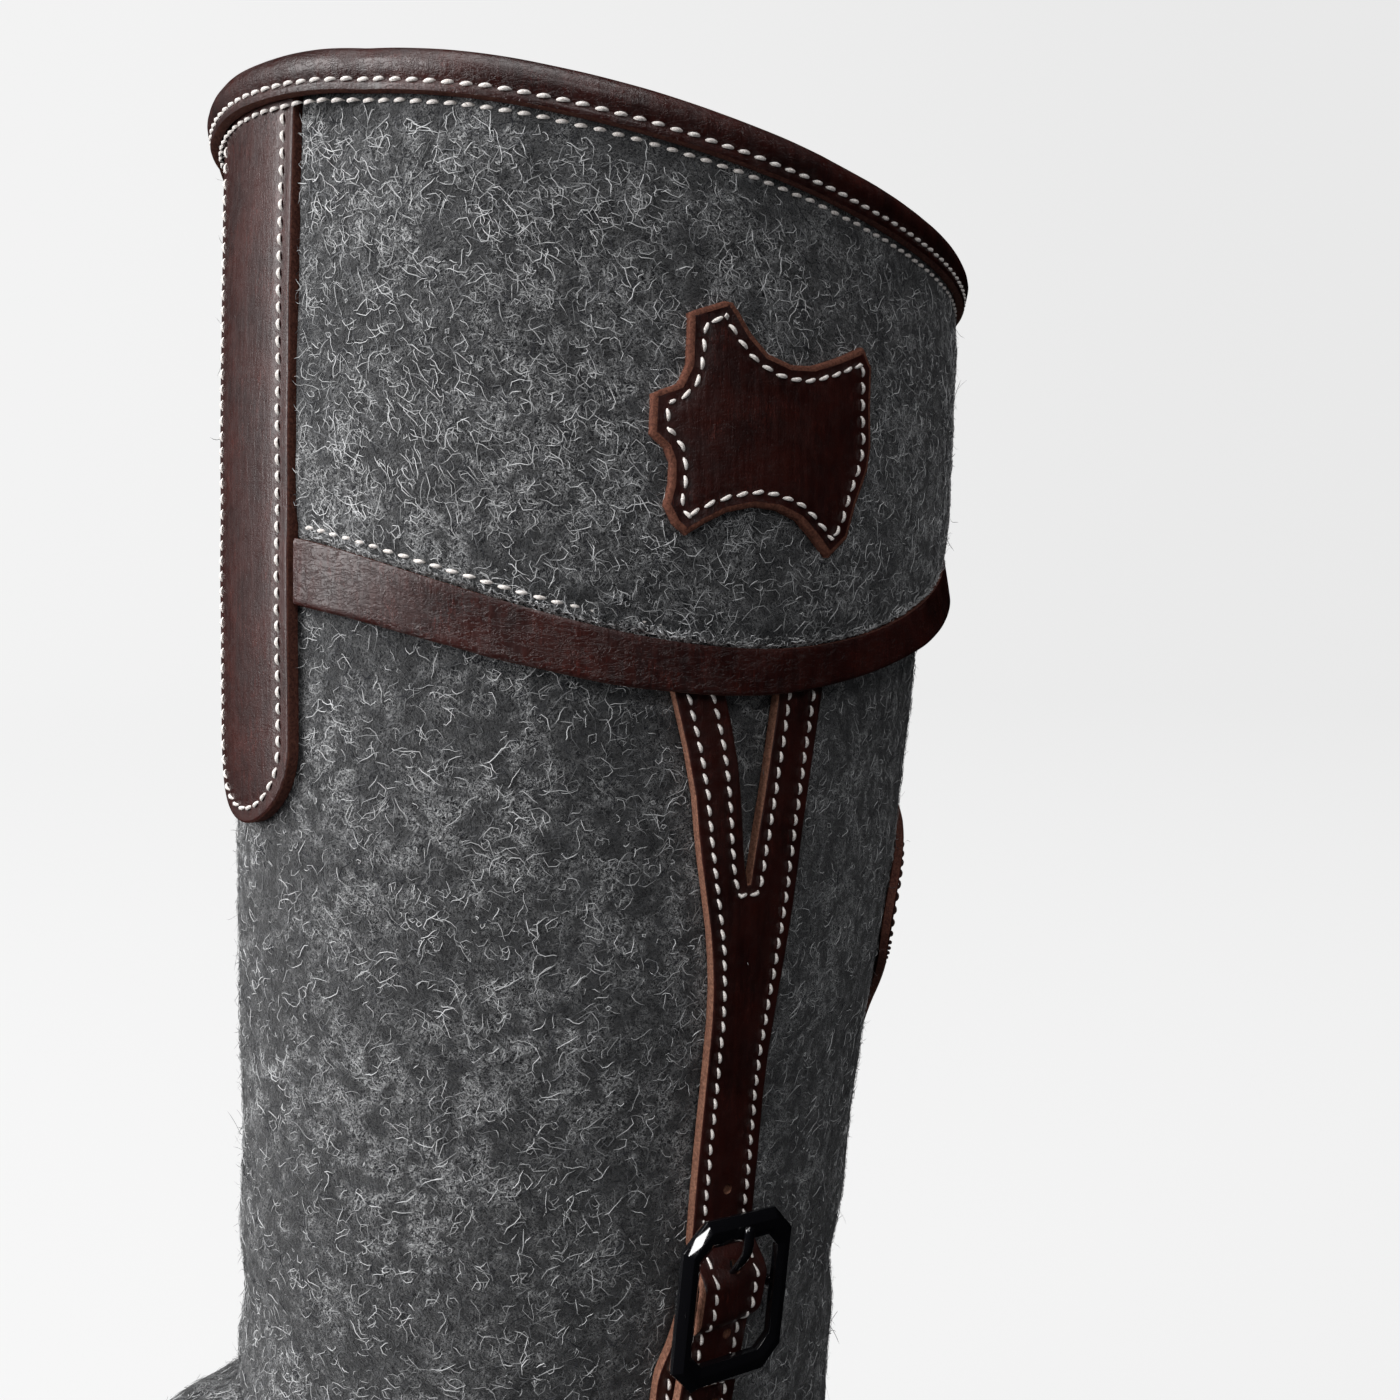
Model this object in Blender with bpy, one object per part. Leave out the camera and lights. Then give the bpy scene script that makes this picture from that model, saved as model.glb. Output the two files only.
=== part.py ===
"""Felt boot for the left foot: felted upper, cuff, leather trim, buckled side strap, rubber sole.

Lengths are in millimetres and become metres when a mesh is made. The toe points to -Y, the outer
side of the foot is +X and the floor is Z = 0. A place on the upper is given by its angle round the
leg (0 at the front line, 90 on the outer side, 180 at the back line) and by its row: rows below
zero are level rings of the shaft, and rows above zero fan round the instep to the toe.
"""

import math

import bmesh
import bpy
import numpy as np

MM = 0.001
GAP = 0.3
Y_SHIFT = 57.35

WALL = 5.0
JOIN_HEIGHT = 130.0
ROW_STEP = 20.0
SEGMENTS = 36
SHAFT_RINGS = 9
FOOT_RINGS = 21

# Level rings of the shaft: height, y of the front line, y of the back line, half width.
SHAFT_ROWS = (
    (90.0, -69.6, 60.0, 51.0),
    (130.0, -69.0, 62.0, 52.5),
    (180.0, -68.2, 69.5, 55.0),
    (230.0, -67.0, 78.5, 58.5),
    (280.0, -66.0, 85.0, 60.8),
    (330.0, -64.3, 87.0, 61.2),
    (380.0, -61.8, 89.5, 61.8),
)
SHAFT_WIDEST = 0.47
SHAFT_BACK_POWER = 1.85

# Rows of the foot: y and z on the top line, y and z on the back or bottom line, half width,
# where the ring is widest (0 top, 1 bottom), squareness of its lower half, shift to the outer side.
FOOT_ROWS = (
    (-71.0, 128.2, 61.0, 108.0, 50.5, 0.48, 1.9, 0.0),
    (-80.8, 131.3, 62.0, 84.0, 47.5, 0.50, 2.0, 0.0),
    (-93.0, 129.4, 65.5, 58.0, 44.0, 0.53, 2.1, 0.0),
    (-105.0, 120.6, 66.0, 36.0, 41.5, 0.57, 2.3, 0.0),
    (-115.8, 110.2, 52.0, 21.5, 40.5, 0.60, 2.6, 0.0),
    (-126.2, 99.6, 24.0, 20.0, 41.0, 0.62, 2.9, 1.0),
    (-137.0, 90.0, -12.0, 19.5, 42.5, 0.63, 3.0, 2.0),
    (-148.2, 81.6, -50.0, 17.0, 45.5, 0.64, 3.1, 3.0),
    (-160.0, 72.5, -88.0, 14.0, 49.0, 0.65, 3.1, 2.0),
    (-172.0, 67.5, -121.0, 12.5, 51.0, 0.65, 3.0, 0.0),
    (-183.5, 61.5, -149.0, 13.5, 49.0, 0.64, 2.8, -3.0),
    (-193.5, 54.0, -172.0, 16.0, 43.5, 0.62, 2.6, -6.0),
    (-201.5, 45.5, -189.0, 19.5, 34.5, 0.60, 2.4, -8.5),
    (-206.6, 38.0, -201.0, 24.0, 22.5, 0.57, 2.2, -10.0),
    (-208.9, 33.5, -207.4, 28.0, 9.5, 0.55, 2.0, -10.5),
)
TOE_CROWN = 0.4
LAST_ROW = float(len(FOOT_ROWS))

# Heights that vary with the angle a: level + tilt cos a + bow cos 2a.
RIM = (357.6, 12.6, 1.2)
CUFF_EDGE = (284.2, -2.2, 11.0)
BAND_EDGE = (275.0, -3.4, 9.8)
UPPER_BELOW_RIM = 3.0

STRIP_HALF_WIDTH = 14.5
STRIP_THICKNESS = 2.8
STRIP_TIP = 241.5

CUFF_THIN = 1.2
CUFF_THICK = 4.0

BAND_THICKNESS = 1.8
BINDING_THICKNESS = 1.7
BINDING_OUTER_LEG = 7.5
BINDING_INNER_LEG = 9.0

STRAP_THICKNESS = 2.2
LOWER_STRAP_LIFT = 2 * GAP
LOWER_STRAP_HALF_WIDTH = 6.6

BUCKLE_ARC = 90.6
BUCKLE_HEIGHT = 158.0
FRAME_HALF_WIDTH = 12.4
FRAME_HALF_HEIGHT = 15.4
FRAME_CORNER = 4.6
FRAME_SIDE_BAR = 3.5
FRAME_END_BAR = 4.6
FRAME_THICKNESS = 2.6
FRAME_LIFT = 6.2
CENTRE_BAR_RADIUS = 1.1
CENTRE_BAR_LIFT = 3.9
PRONG_RADIUS = 1.0

PATCH_CENTRE = (97.0, 309.0)
PATCH_LIFT = CUFF_THICK + 2 * GAP
PATCH_THICKNESS = 2.0
# Outline of the hide-shaped patch, across and up from its centre.
PATCH_OUTLINE = (
    (-17.0, 18.5), (-10.3, 21.0), (-8.6, 19.0), (-6.4, 15.8), (-3.2, 12.8), (1.2, 11.4),
    (5.6, 11.6), (11.0, 13.4), (17.4, 16.0), (19.8, 12.8), (19.9, 5.5), (20.4, -1.0),
    (19.7, -5.2), (16.8, -11.2), (14.8, -17.2), (10.4, -20.6), (7.2, -17.4), (3.8, -14.4),
    (-0.4, -12.8), (-5.0, -12.4), (-9.8, -13.4), (-13.4, -15.2), (-16.6, -17.2), (-18.6, -15.4),
    (-20.2, -12.4), (-19.4, -9.0), (-19.4, -5.6), (-20.2, -3.4), (-22.6, -1.2), (-22.5, 5.4),
    (-18.4, 7.0), (-17.0, 10.2),
)

SOLE_RIM = 3.6
HEEL_BREAST = 16.0
ARCH_RISE = 6.0
TOE_SPRING_START = -158.0
TOE_SPRING = 8.0
LUG_DEPTH = 3.0
GROOVE = 4.0
LUG_PITCH = 15.0

STAY_LIFT = 0.5
STAY_THICKNESS = 2.0

INSOLE_THICKNESS = 3.0


def cubic(table, column, at):
    """Smooth curve through one column of a table, read at a value of its first column."""
    xs = np.array([row[0] for row in table], float)
    ys = np.array([row[column] for row in table], float)
    slopes = np.gradient(ys, xs)
    at = np.clip(np.asarray(at, float), xs[0], xs[-1])
    i = np.clip(np.searchsorted(xs, at) - 1, 0, len(xs) - 2)
    span = xs[i + 1] - xs[i]
    t = (at - xs[i]) / span
    start = (2 * t**3 - 3 * t**2 + 1) * ys[i] + (t**3 - 2 * t**2 + t) * span * slopes[i]
    end = (3 * t**2 - 2 * t**3) * ys[i + 1] + (t**3 - t**2) * span * slopes[i + 1]
    return start + end


def shaft_row(row):
    """The ring of the shaft at a row of zero or less, in the columns of FOOT_ROWS."""
    height = JOIN_HEIGHT - ROW_STEP * row
    front, back, half = (float(cubic(SHAFT_ROWS, k, height)) for k in (1, 2, 3))
    return (row, front, height, back, height, half, SHAFT_WIDEST, SHAFT_BACK_POWER, 0.0)


ROWS = tuple(shaft_row(-k) for k in (2, 1, 0)) + tuple(
    (k + 1.0,) + row for k, row in enumerate(FOOT_ROWS)
)


def ring_values(row):
    """Front, back, half width, widest place, squareness and shift of the ring at each row."""
    row = np.asarray(row, float)
    foot = [cubic(ROWS, k, row) for k in range(1, 9)]
    height = JOIN_HEIGHT - ROW_STEP * row
    shaft = [cubic(SHAFT_ROWS, k, height) for k in (1, 2, 3)]
    on_shaft = row < 0
    values = (
        (foot[0], shaft[0]), (foot[1], height), (foot[2], shaft[1]), (foot[3], height),
        (foot[4], shaft[2]), (foot[5], SHAFT_WIDEST), (foot[6], SHAFT_BACK_POWER), (foot[7], 0.0),
    )
    return [np.where(on_shaft, level, fanned) for fanned, level in values]


def bare_skin(angle, row):
    """Point of the upper's outer surface, without its normal."""
    angle = np.asarray(angle, float)
    front_y, front_z, back_y, back_z, half, widest, power, shift = ring_values(row)
    middle_y = front_y + (back_y - front_y) * widest
    middle_z = front_z + (back_z - front_z) * widest
    across, along = np.sin(angle), np.cos(angle)
    back = np.abs(along) ** (2 / power)
    at_front = along > 0
    x = np.where(at_front, across, np.sign(across) * np.abs(across) ** (2 / power)) * half + shift
    y = middle_y + np.where(at_front, (front_y - middle_y) * along, (back_y - middle_y) * back)
    z = middle_z + np.where(at_front, (front_z - middle_z) * along, (back_z - middle_z) * back)
    return np.stack(np.broadcast_arrays(x, y, z), -1)


def skin(angle, row, lift=0.0):
    """Point at a lift above the upper's outer surface; a negative lift lies in the wall."""
    step = 1e-3
    point = bare_skin(angle, row)
    round_leg = bare_skin(angle + step, row) - bare_skin(angle - step, row)
    down_leg = bare_skin(angle, row + step) - bare_skin(angle, row - step)
    normal = np.cross(down_leg, round_leg)
    normal /= np.linalg.norm(normal, axis=-1, keepdims=True) + 1e-12
    return point + normal * np.asarray(lift, float)[..., None]


def bowed(form, angle):
    """Height of an edge that runs round the leg, from its level, tilt and bow."""
    return form[0] + form[1] * np.cos(angle) + form[2] * np.cos(2 * angle)


def row_at(height):
    return (JOIN_HEIGHT - np.asarray(height, float)) / ROW_STEP


def angle_at(arc, row):
    """Angle at which the way round a ring from the front line is as long as arc."""
    angles = np.linspace(0.0, 2 * math.pi, 181)
    points = bare_skin(angles, np.full_like(angles, row))
    lengths = np.concatenate([[0.0], np.cumsum(np.linalg.norm(np.diff(points, axis=0), axis=1))])
    wrapped = arc % lengths[-1]
    return float(np.interp(wrapped, lengths, angles)) - (2 * math.pi if arc < 0 else 0.0)


def wrap(arc, height, lift):
    """Point over the shaft for a flat pattern: way round from the front line, height, lift."""
    row = float(row_at(height))
    return skin(np.array(angle_at(arc, row)), np.array(row), lift)


def smooth_step(low, high, value):
    t = np.clip((value - low) / (high - low), 0.0, 1.0)
    return t * t * (3 - 2 * t)


def from_front(angle):
    """Degrees between an angle and the front line, whichever way is shorter."""
    return np.degrees(np.abs((np.asarray(angle) + math.pi) % (2 * math.pi) - math.pi))


def cuff_thickness(angle):
    return CUFF_THIN + (CUFF_THICK - CUFF_THIN) * smooth_step(14.0, 50.0, from_front(angle))


def under_binding(angle):
    """How far what lies under the binding's outer leg stands off the upper."""
    strip = (GAP + STRIP_THICKNESS) * (1 - smooth_step(18.0, 45.0, from_front(angle)))
    return np.maximum(GAP + cuff_thickness(angle), strip)


def material(name, colour, roughness, metallic=0.0):
    mat = bpy.data.materials.new(name)
    mat.use_nodes = True
    shader = mat.node_tree.nodes["Principled BSDF"]
    shader.inputs["Base Color"].default_value = (*colour, 1.0)
    shader.inputs["Roughness"].default_value = roughness
    shader.inputs["Metallic"].default_value = metallic
    return mat


def make_object(name, points, faces, mat, smooth=40.0):
    """One closed object from points in millimetres, with its faces turned outwards."""
    mesh = bpy.data.meshes.new(name)
    places = [(float(x) * MM, (float(y) + Y_SHIFT) * MM, float(z) * MM) for x, y, z in points]
    mesh.from_pydata(places, [], faces)
    bm = bmesh.new()
    bm.from_mesh(mesh)
    bmesh.ops.recalc_face_normals(bm, faces=bm.faces[:])
    if bm.calc_volume(signed=True) < 0:
        bmesh.ops.reverse_faces(bm, faces=bm.faces[:])
    bm.to_mesh(mesh)
    bm.free()
    mesh.shade_smooth()
    mesh.set_sharp_from_angle(angle=math.radians(smooth))
    mesh.materials.append(mat)
    obj = bpy.data.objects.new(name, mesh)
    bpy.context.scene.collection.objects.link(obj)
    return obj


def loft(sections, closed=True, caps=True):
    """Points and faces of a body swept through sections of equally many points."""
    count = len(sections[0])
    points = [p for section in sections for p in section]
    faces = []
    last = len(sections) if closed else len(sections) - 1
    for i in range(last):
        a, b = i * count, ((i + 1) % len(sections)) * count
        for j in range(count):
            k = (j + 1) % count
            faces.append((a + j, a + k, b + k, b + j))
    if caps and not closed:
        end = (len(sections) - 1) * count
        faces.append(tuple(range(count)))
        faces.append(tuple(end + j for j in reversed(range(count))))
    return points, faces


def sheet_solid(outer, inner, faces):
    """Points and faces of a sheet with thickness, from its two sides and the faces of one."""
    edge_use = {}
    for face in faces:
        for a, b in zip(face, face[1:] + face[:1]):
            edge_use[(a, b)] = edge_use.get((a, b), 0) + 1
    size = len(outer)
    solid = [tuple(face) for face in faces]
    solid += [tuple(size + i for i in reversed(face)) for face in faces]
    for a, b in edge_use:
        if (b, a) not in edge_use:
            solid.append((b, a, size + a, size + b))
    return list(outer) + list(inner), solid


def grid_faces(rows, columns):
    faces = []
    for i in range(rows - 1):
        for j in range(columns - 1):
            a = i * columns + j
            faces.append((a, a + 1, a + columns + 1, a + columns))
    return faces


def flat_pattern(outline, across_step, up_step):
    """Points and faces of a flat outline, cut along a grid so that it can bend."""
    bm = bmesh.new()
    bm.faces.new([bm.verts.new((x, 0.0, z)) for x, z in outline])
    for axis, step in ((0, across_step), (2, up_step)):
        values = [p[0] if axis == 0 else p[1] for p in outline]
        first = math.ceil(min(values) / step + 1e-6)
        normal = (1, 0, 0) if axis == 0 else (0, 0, 1)
        while first * step < max(values) - 1e-6:
            place = tuple(first * step * n for n in normal)
            bmesh.ops.bisect_plane(bm, geom=bm.verts[:] + bm.edges[:] + bm.faces[:],
                                   plane_co=place, plane_no=normal, dist=1e-3)
            first += 1
    bmesh.ops.triangulate(bm, faces=[f for f in bm.faces if len(f.verts) > 4])
    bm.verts.index_update()
    points = [(v.co.x, v.co.z) for v in bm.verts]
    faces = [tuple(v.index for v in f.verts) for f in bm.faces]
    bm.free()
    return points, faces


def leather_from_pattern(name, outline, lift, thickness, mat, steps=(5.0, 12.0)):
    """A flat leather outline (way round, height) wrapped over the shaft at a lift."""
    flat, faces = flat_pattern(outline, *steps)
    low = [wrap(a, h, lift(a, h)) for a, h in flat]
    high = [wrap(a, h, lift(a, h) + thickness) for a, h in flat]
    points, solid = sheet_solid(high, low, faces)
    return make_object(name, points, solid, mat)


def upper_rings(lift):
    """Rings of the upper from the collar to the toe, at a lift from its outer surface."""
    angles = np.linspace(0.0, 2 * math.pi, SEGMENTS, endpoint=False)
    rings = []
    for k in range(SHAFT_RINGS):
        collar = bowed(RIM, angles) - UPPER_BELOW_RIM
        height = collar + (JOIN_HEIGHT - collar) * k / SHAFT_RINGS
        rings.append(skin(angles, row_at(height), lift))
    for row in np.linspace(0.0, LAST_ROW, FOOT_RINGS):
        rings.append(skin(angles, np.full_like(angles, row), lift))
    return rings


def capped_form(rings):
    """Closed form of a set of rings, with a pole at the toe and a flat lid at the collar."""
    pole = rings[-1].mean(axis=0)
    pole[1] = rings[-1][:, 1].min() - TOE_CROWN
    points, faces = loft(rings, closed=False, caps=False)
    end = (len(rings) - 1) * SEGMENTS
    tip = len(points)
    points = points + [pole]
    faces += [(end + j, end + (j + 1) % SEGMENTS, tip) for j in range(SEGMENTS)]
    faces.append(tuple(reversed(range(SEGMENTS))))
    return points, faces


def make_upper(mat):
    """Hollow felted boot: outer and inner skins joined round the collar."""
    skins = []
    for lift in (0.0, -WALL):
        points, faces = capped_form(upper_rings(lift))
        skins.append((points, faces[:-1]))
    size = len(skins[0][0])
    points = skins[0][0] + skins[1][0]
    faces = skins[0][1] + [tuple(size + i for i in reversed(f)) for f in skins[1][1]]
    for j in range(SEGMENTS):
        k = (j + 1) % SEGMENTS
        faces.append((k, j, size + j, size + k))
    return make_object("upper", points, faces, mat)


def trim_angles(start):
    """Angles of the upper's own segments between the two sides of the front strip."""
    turn = 2 * math.pi / SEGMENTS
    end = 2 * math.pi - start
    clear = 0.4 * turn
    inner = [k * turn for k in range(SEGMENTS) if start + clear < k * turn < end - clear]
    return [start] + inner + [end]


def make_cuff(mat):
    """Felt overlay from the rim down to its bowed edge, open at the front strip."""
    start = angle_at(STRIP_HALF_WIDTH + GAP + 0.2, float(row_at(300.0)))
    sections = []
    for angle in trim_angles(start):
        thick = float(cuff_thickness(angle))
        low = float(bowed(CUFF_EDGE, angle))
        high = float(bowed(RIM, angle)) - UPPER_BELOW_RIM
        section = []
        for lift, part in ((GAP, 0.0), (GAP + thick * 0.7, 0.0), (GAP + thick, 0.03),
                           (GAP + thick, 0.35), (GAP + thick, 0.7), (GAP + thick, 1.0),
                           (GAP, 1.0), (GAP, 0.5)):
            height = low + (high - low) * part
            section.append(skin(np.array(angle), row_at(height), lift))
        sections.append(section)
    points, faces = loft(sections, closed=False)
    return make_object("cuff", points, faces, mat)


def band_lifts(angle):
    """Lift of the band's back at its top and bottom edge; it stands off towards the heel."""
    away = from_front(angle)
    top = np.maximum(GAP, GAP + cuff_thickness(angle) - 1.5)
    bottom = GAP + 2.5 * smooth_step(25.0, 68.0, away) + 1.8 * smooth_step(100.0, 125.0, away)
    return float(top), float(bottom)


def make_band(mat):
    start = angle_at(STRIP_HALF_WIDTH + GAP + 0.2, float(row_at(280.0)))
    sections = []
    for angle in trim_angles(start):
        top, bottom = band_lifts(angle)
        high = float(bowed(CUFF_EDGE, angle)) - GAP
        low = float(bowed(BAND_EDGE, angle))
        corners = ((top, high), (top + BAND_THICKNESS, high),
                   (bottom + BAND_THICKNESS, low), (bottom, low))
        sections.append([skin(np.array(angle), row_at(h), lift) for lift, h in corners])
    points, faces = loft(sections, closed=False)
    return make_object("band", points, faces, mat)


def make_binding(mat):
    """Leather rolled over the rim, with a leg outside the cuff and one inside the wall."""
    sections = []
    for k in range(SEGMENTS):
        angle = 2 * math.pi * k / SEGMENTS
        out = float(under_binding(angle)) + GAP
        inside = -WALL - GAP
        over = GAP - UPPER_BELOW_RIM
        profile = (
            (out, -BINDING_OUTER_LEG), (out + BINDING_THICKNESS, -BINDING_OUTER_LEG),
            (out + BINDING_THICKNESS + 0.7, -4.2), (out + BINDING_THICKNESS - 0.3, -1.6),
            (out - 1.6, 0.0), (inside + 1.6, 0.0), (inside - BINDING_THICKNESS + 0.2, -1.8),
            (inside - BINDING_THICKNESS, -4.5), (inside - BINDING_THICKNESS, -BINDING_INNER_LEG),
            (inside, -BINDING_INNER_LEG), (inside, over), (out, over),
        )
        rim = float(bowed(RIM, angle))
        sections.append([skin(np.array(angle), row_at(rim + h), lift) for lift, h in profile])
    points, faces = loft(sections, closed=True)
    return make_object("binding", points, faces, mat)


def make_front_strip(mat):
    top = float(bowed(RIM, 0.0)) - UPPER_BELOW_RIM - GAP
    half = STRIP_HALF_WIDTH
    centre = STRIP_TIP + half
    outline = [(half, top), (-half, top)]
    for k in range(9):
        turn = math.pi + math.pi * k / 8
        outline.append((half * math.cos(turn), centre + half * math.sin(turn)))
    return leather_from_pattern("front_strip", outline, lambda a, h: GAP, STRIP_THICKNESS, mat,
                                (4.9, 16.0))


def strap_lift(height):
    """Lift of the side strap's back: flat, then over the buckle's middle bar."""
    over_bar = CENTRE_BAR_LIFT + CENTRE_BAR_RADIUS + 3 * GAP
    drop = abs(height - BUCKLE_HEIGHT)
    crest = GAP + (over_bar - GAP) * (1 - smooth_step(2.6, 9.8, drop))
    below = (LOWER_STRAP_LIFT + STRAP_THICKNESS + 2 * GAP) * smooth_step(-1.0, 6.0,
                                                                        BUCKLE_HEIGHT - height)
    return max(crest, below, GAP)


def make_y_strap(mat):
    """Forked strap: two arms from under the band, a stem, and its end through the buckle."""
    top = float(bowed(CUFF_EDGE, math.radians(85.0))) - GAP - 0.2
    # Edges of the strap as way round from the front line and height.
    front_edge = ((78.6, top), (84.1, 251.0), (85.3, 239.0), (86.6, 231.0), (88.0, 222.0),
                  (88.6, 211.0), (87.5, 197.0), (86.0, 180.0), (85.2, 168.0), (84.4, 158.0),
                  (81.6, 143.0), (79.2, 130.0), (80.0, 123.5))
    back_edge = ((84.0, 121.0), (88.6, 124.0), (91.2, 131.0), (93.6, 143.0), (97.0, 158.0),
                 (98.8, 168.0), (99.8, 180.0), (100.8, 196.0), (102.9, 209.0), (104.7, 219.0),
                 (106.2, 228.0), (107.9, 243.0), (112.6, top))
    fork = ((101.8, top), (98.6, 250.0), (96.2, 236.0), (95.4, 230.0), (94.2, 236.0),
            (93.5, 246.0), (92.2, 256.0), (87.8, top))
    outline = list(front_edge + back_edge + fork)
    return leather_from_pattern("y_strap", outline, lambda a, h: strap_lift(h), STRAP_THICKNESS,
                                mat, (6.0, 4.8))


def make_lower_strap(mat):
    """Strap from the buckle's middle bar down and forward to the sole, under the billet."""
    # Row of the upper and way round from the front line of the strap's middle.
    first = float(row_at(BUCKLE_HEIGHT - CENTRE_BAR_RADIUS - 2 * GAP))
    middle = ((first, 90.2), (float(row_at(150.0)), 88.0), (float(row_at(145.0)), 85.6),
              (float(row_at(139.0)), 84.6), (0.0, 82.6), (1.0, 80.4), (2.0, 82.0), (3.0, 86.0),
              (4.0, 92.0), (5.0, 100.0), (6.0, 108.5), (7.0, 118.0), (7.3, 121.0))
    spread = (-1.0, -0.5, 0.0, 0.5, 1.0)
    rows = list(np.arange(first, 0.0, 0.22)) + list(np.arange(0.0, 7.31, 0.4))
    outer, inner = [], []
    for row in rows:
        arc = float(cubic(middle, 1, row))
        for s in spread:
            angle = angle_at(arc + s * LOWER_STRAP_HALF_WIDTH, float(row))
            place = (np.array(angle), np.array(row))
            inner.append(skin(*place, LOWER_STRAP_LIFT))
            outer.append(skin(*place, LOWER_STRAP_LIFT + STRAP_THICKNESS))
    points, solid = sheet_solid(outer, inner, grid_faces(len(rows), len(spread)))
    return make_object("lower_strap", points, solid, mat)


def buckle_place(across, up, lift):
    """Point of the buckle, in the plane that lies flat on the upper at its middle."""
    middle_row = np.array(float(row_at(BUCKLE_HEIGHT)))
    middle_angle = np.array(angle_at(BUCKLE_ARC, float(middle_row)))
    origin = skin(middle_angle, middle_row)
    normal = skin(middle_angle, middle_row, 1.0) - origin
    upward = skin(middle_angle, middle_row - 0.2) - origin
    upward -= normal * np.dot(upward, normal)
    upward /= np.linalg.norm(upward)
    side = np.cross(upward, normal)
    return origin + side * across + upward * up + normal * lift


def rounded_corners(half_width, half_height, corner, bulge):
    """Rectangle with three points to a corner; bulge 0 is a chamfer, 1 is nearly round."""
    points = []
    for sx, sz in ((1, 1), (-1, 1), (-1, -1), (1, -1)):
        w, h = sx * half_width, sz * half_height
        ends = [(w, h - sz * corner), (w - sx * corner, h)]
        middle = 0.5 - 0.21 * bulge
        centre = (w - sx * corner * middle, h - sz * corner * middle)
        if sx * sz < 0:
            ends.reverse()
        points += [ends[0], centre, ends[1]]
    return points


def make_buckle_frame(mat):
    """Chamfered frame and the round bar across its middle, joined into one body."""
    sections = []
    outline = rounded_corners(FRAME_HALF_WIDTH, FRAME_HALF_HEIGHT, FRAME_CORNER, 1.0)
    opening = rounded_corners(FRAME_HALF_WIDTH - FRAME_SIDE_BAR,
                              FRAME_HALF_HEIGHT - FRAME_END_BAR, FRAME_CORNER * 0.6, 0.0)
    for (ox, oz), (ix, iz) in zip(outline, opening):
        def between(t, lift, ox=ox, oz=oz, ix=ix, iz=iz):
            return buckle_place(ox + (ix - ox) * t, oz + (iz - oz) * t, lift)
        low, high = FRAME_LIFT, FRAME_LIFT + FRAME_THICKNESS
        sections.append([between(0.0, low + 0.5), between(0.0, high - 1.0), between(0.3, high),
                         between(0.75, high), between(1.0, high - 0.7), between(1.0, low + 0.4),
                         between(0.8, low), between(0.2, low)])
    points, faces = loft(sections, closed=True)
    frame = make_object("buckle_frame", points, faces, mat, smooth=25.0)
    reach = FRAME_HALF_WIDTH - 0.9
    bar_sections = []
    for across, lift in ((-reach, FRAME_LIFT + 1.2), (-reach + 1.6, CENTRE_BAR_LIFT),
                         (reach - 1.6, CENTRE_BAR_LIFT), (reach, FRAME_LIFT + 1.2)):
        ring = []
        for k in range(8):
            turn = 2 * math.pi * k / 8
            ring.append(buckle_place(across, CENTRE_BAR_RADIUS * math.cos(turn),
                                     lift + CENTRE_BAR_RADIUS * math.sin(turn)))
        bar_sections.append(ring)
    points, faces = loft(bar_sections, closed=False)
    bar = make_object("buckle_bar_tool", points, faces, mat)
    join = frame.modifiers.new("join", "BOOLEAN")
    join.operation = "UNION"
    join.object = bar
    bar.hide_render = True
    bar.display_type = "WIRE"
    return frame


def prong_sections(clear=0.0):
    """Round prong from the middle bar up through the strap to the top of the frame."""
    on_frame = FRAME_LIFT + FRAME_THICKNESS + PRONG_RADIUS + GAP + 0.1
    start = (CENTRE_BAR_RADIUS + GAP + PRONG_RADIUS - clear, CENTRE_BAR_LIFT)
    knee = (FRAME_HALF_HEIGHT - FRAME_END_BAR - 0.6, on_frame)
    tip = (FRAME_HALF_HEIGHT - 1.6, on_frame)
    radius = PRONG_RADIUS + clear
    ends = []
    for up, lift in (start, knee, tip):
        ring = []
        for k in range(8):
            turn = 2 * math.pi * k / 8
            ring.append(buckle_place(radius * math.cos(turn), up, lift + radius * math.sin(turn)))
        ends.append(ring)
    return ends


def make_buckle_prong(mat):
    points, faces = loft(prong_sections(), closed=False)
    return make_object("buckle_prong", points, faces, mat)


def punch_strap(strap, mat):
    """Cut the hole that the prong passes through."""
    points, faces = loft(prong_sections(GAP + 0.15), closed=False)
    punch = make_object("prong_hole_tool", points, faces, mat)
    punch.hide_render = True
    punch.display_type = "WIRE"
    cut = strap.modifiers.new("prong hole", "BOOLEAN")
    cut.operation = "DIFFERENCE"
    cut.object = punch


def make_patch(mat):
    outline = [(PATCH_CENTRE[0] + a, PATCH_CENTRE[1] + h) for a, h in PATCH_OUTLINE]
    return leather_from_pattern("patch", outline, lambda a, h: PATCH_LIFT, PATCH_THICKNESS, mat,
                                (6.0, 14.0))


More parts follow.
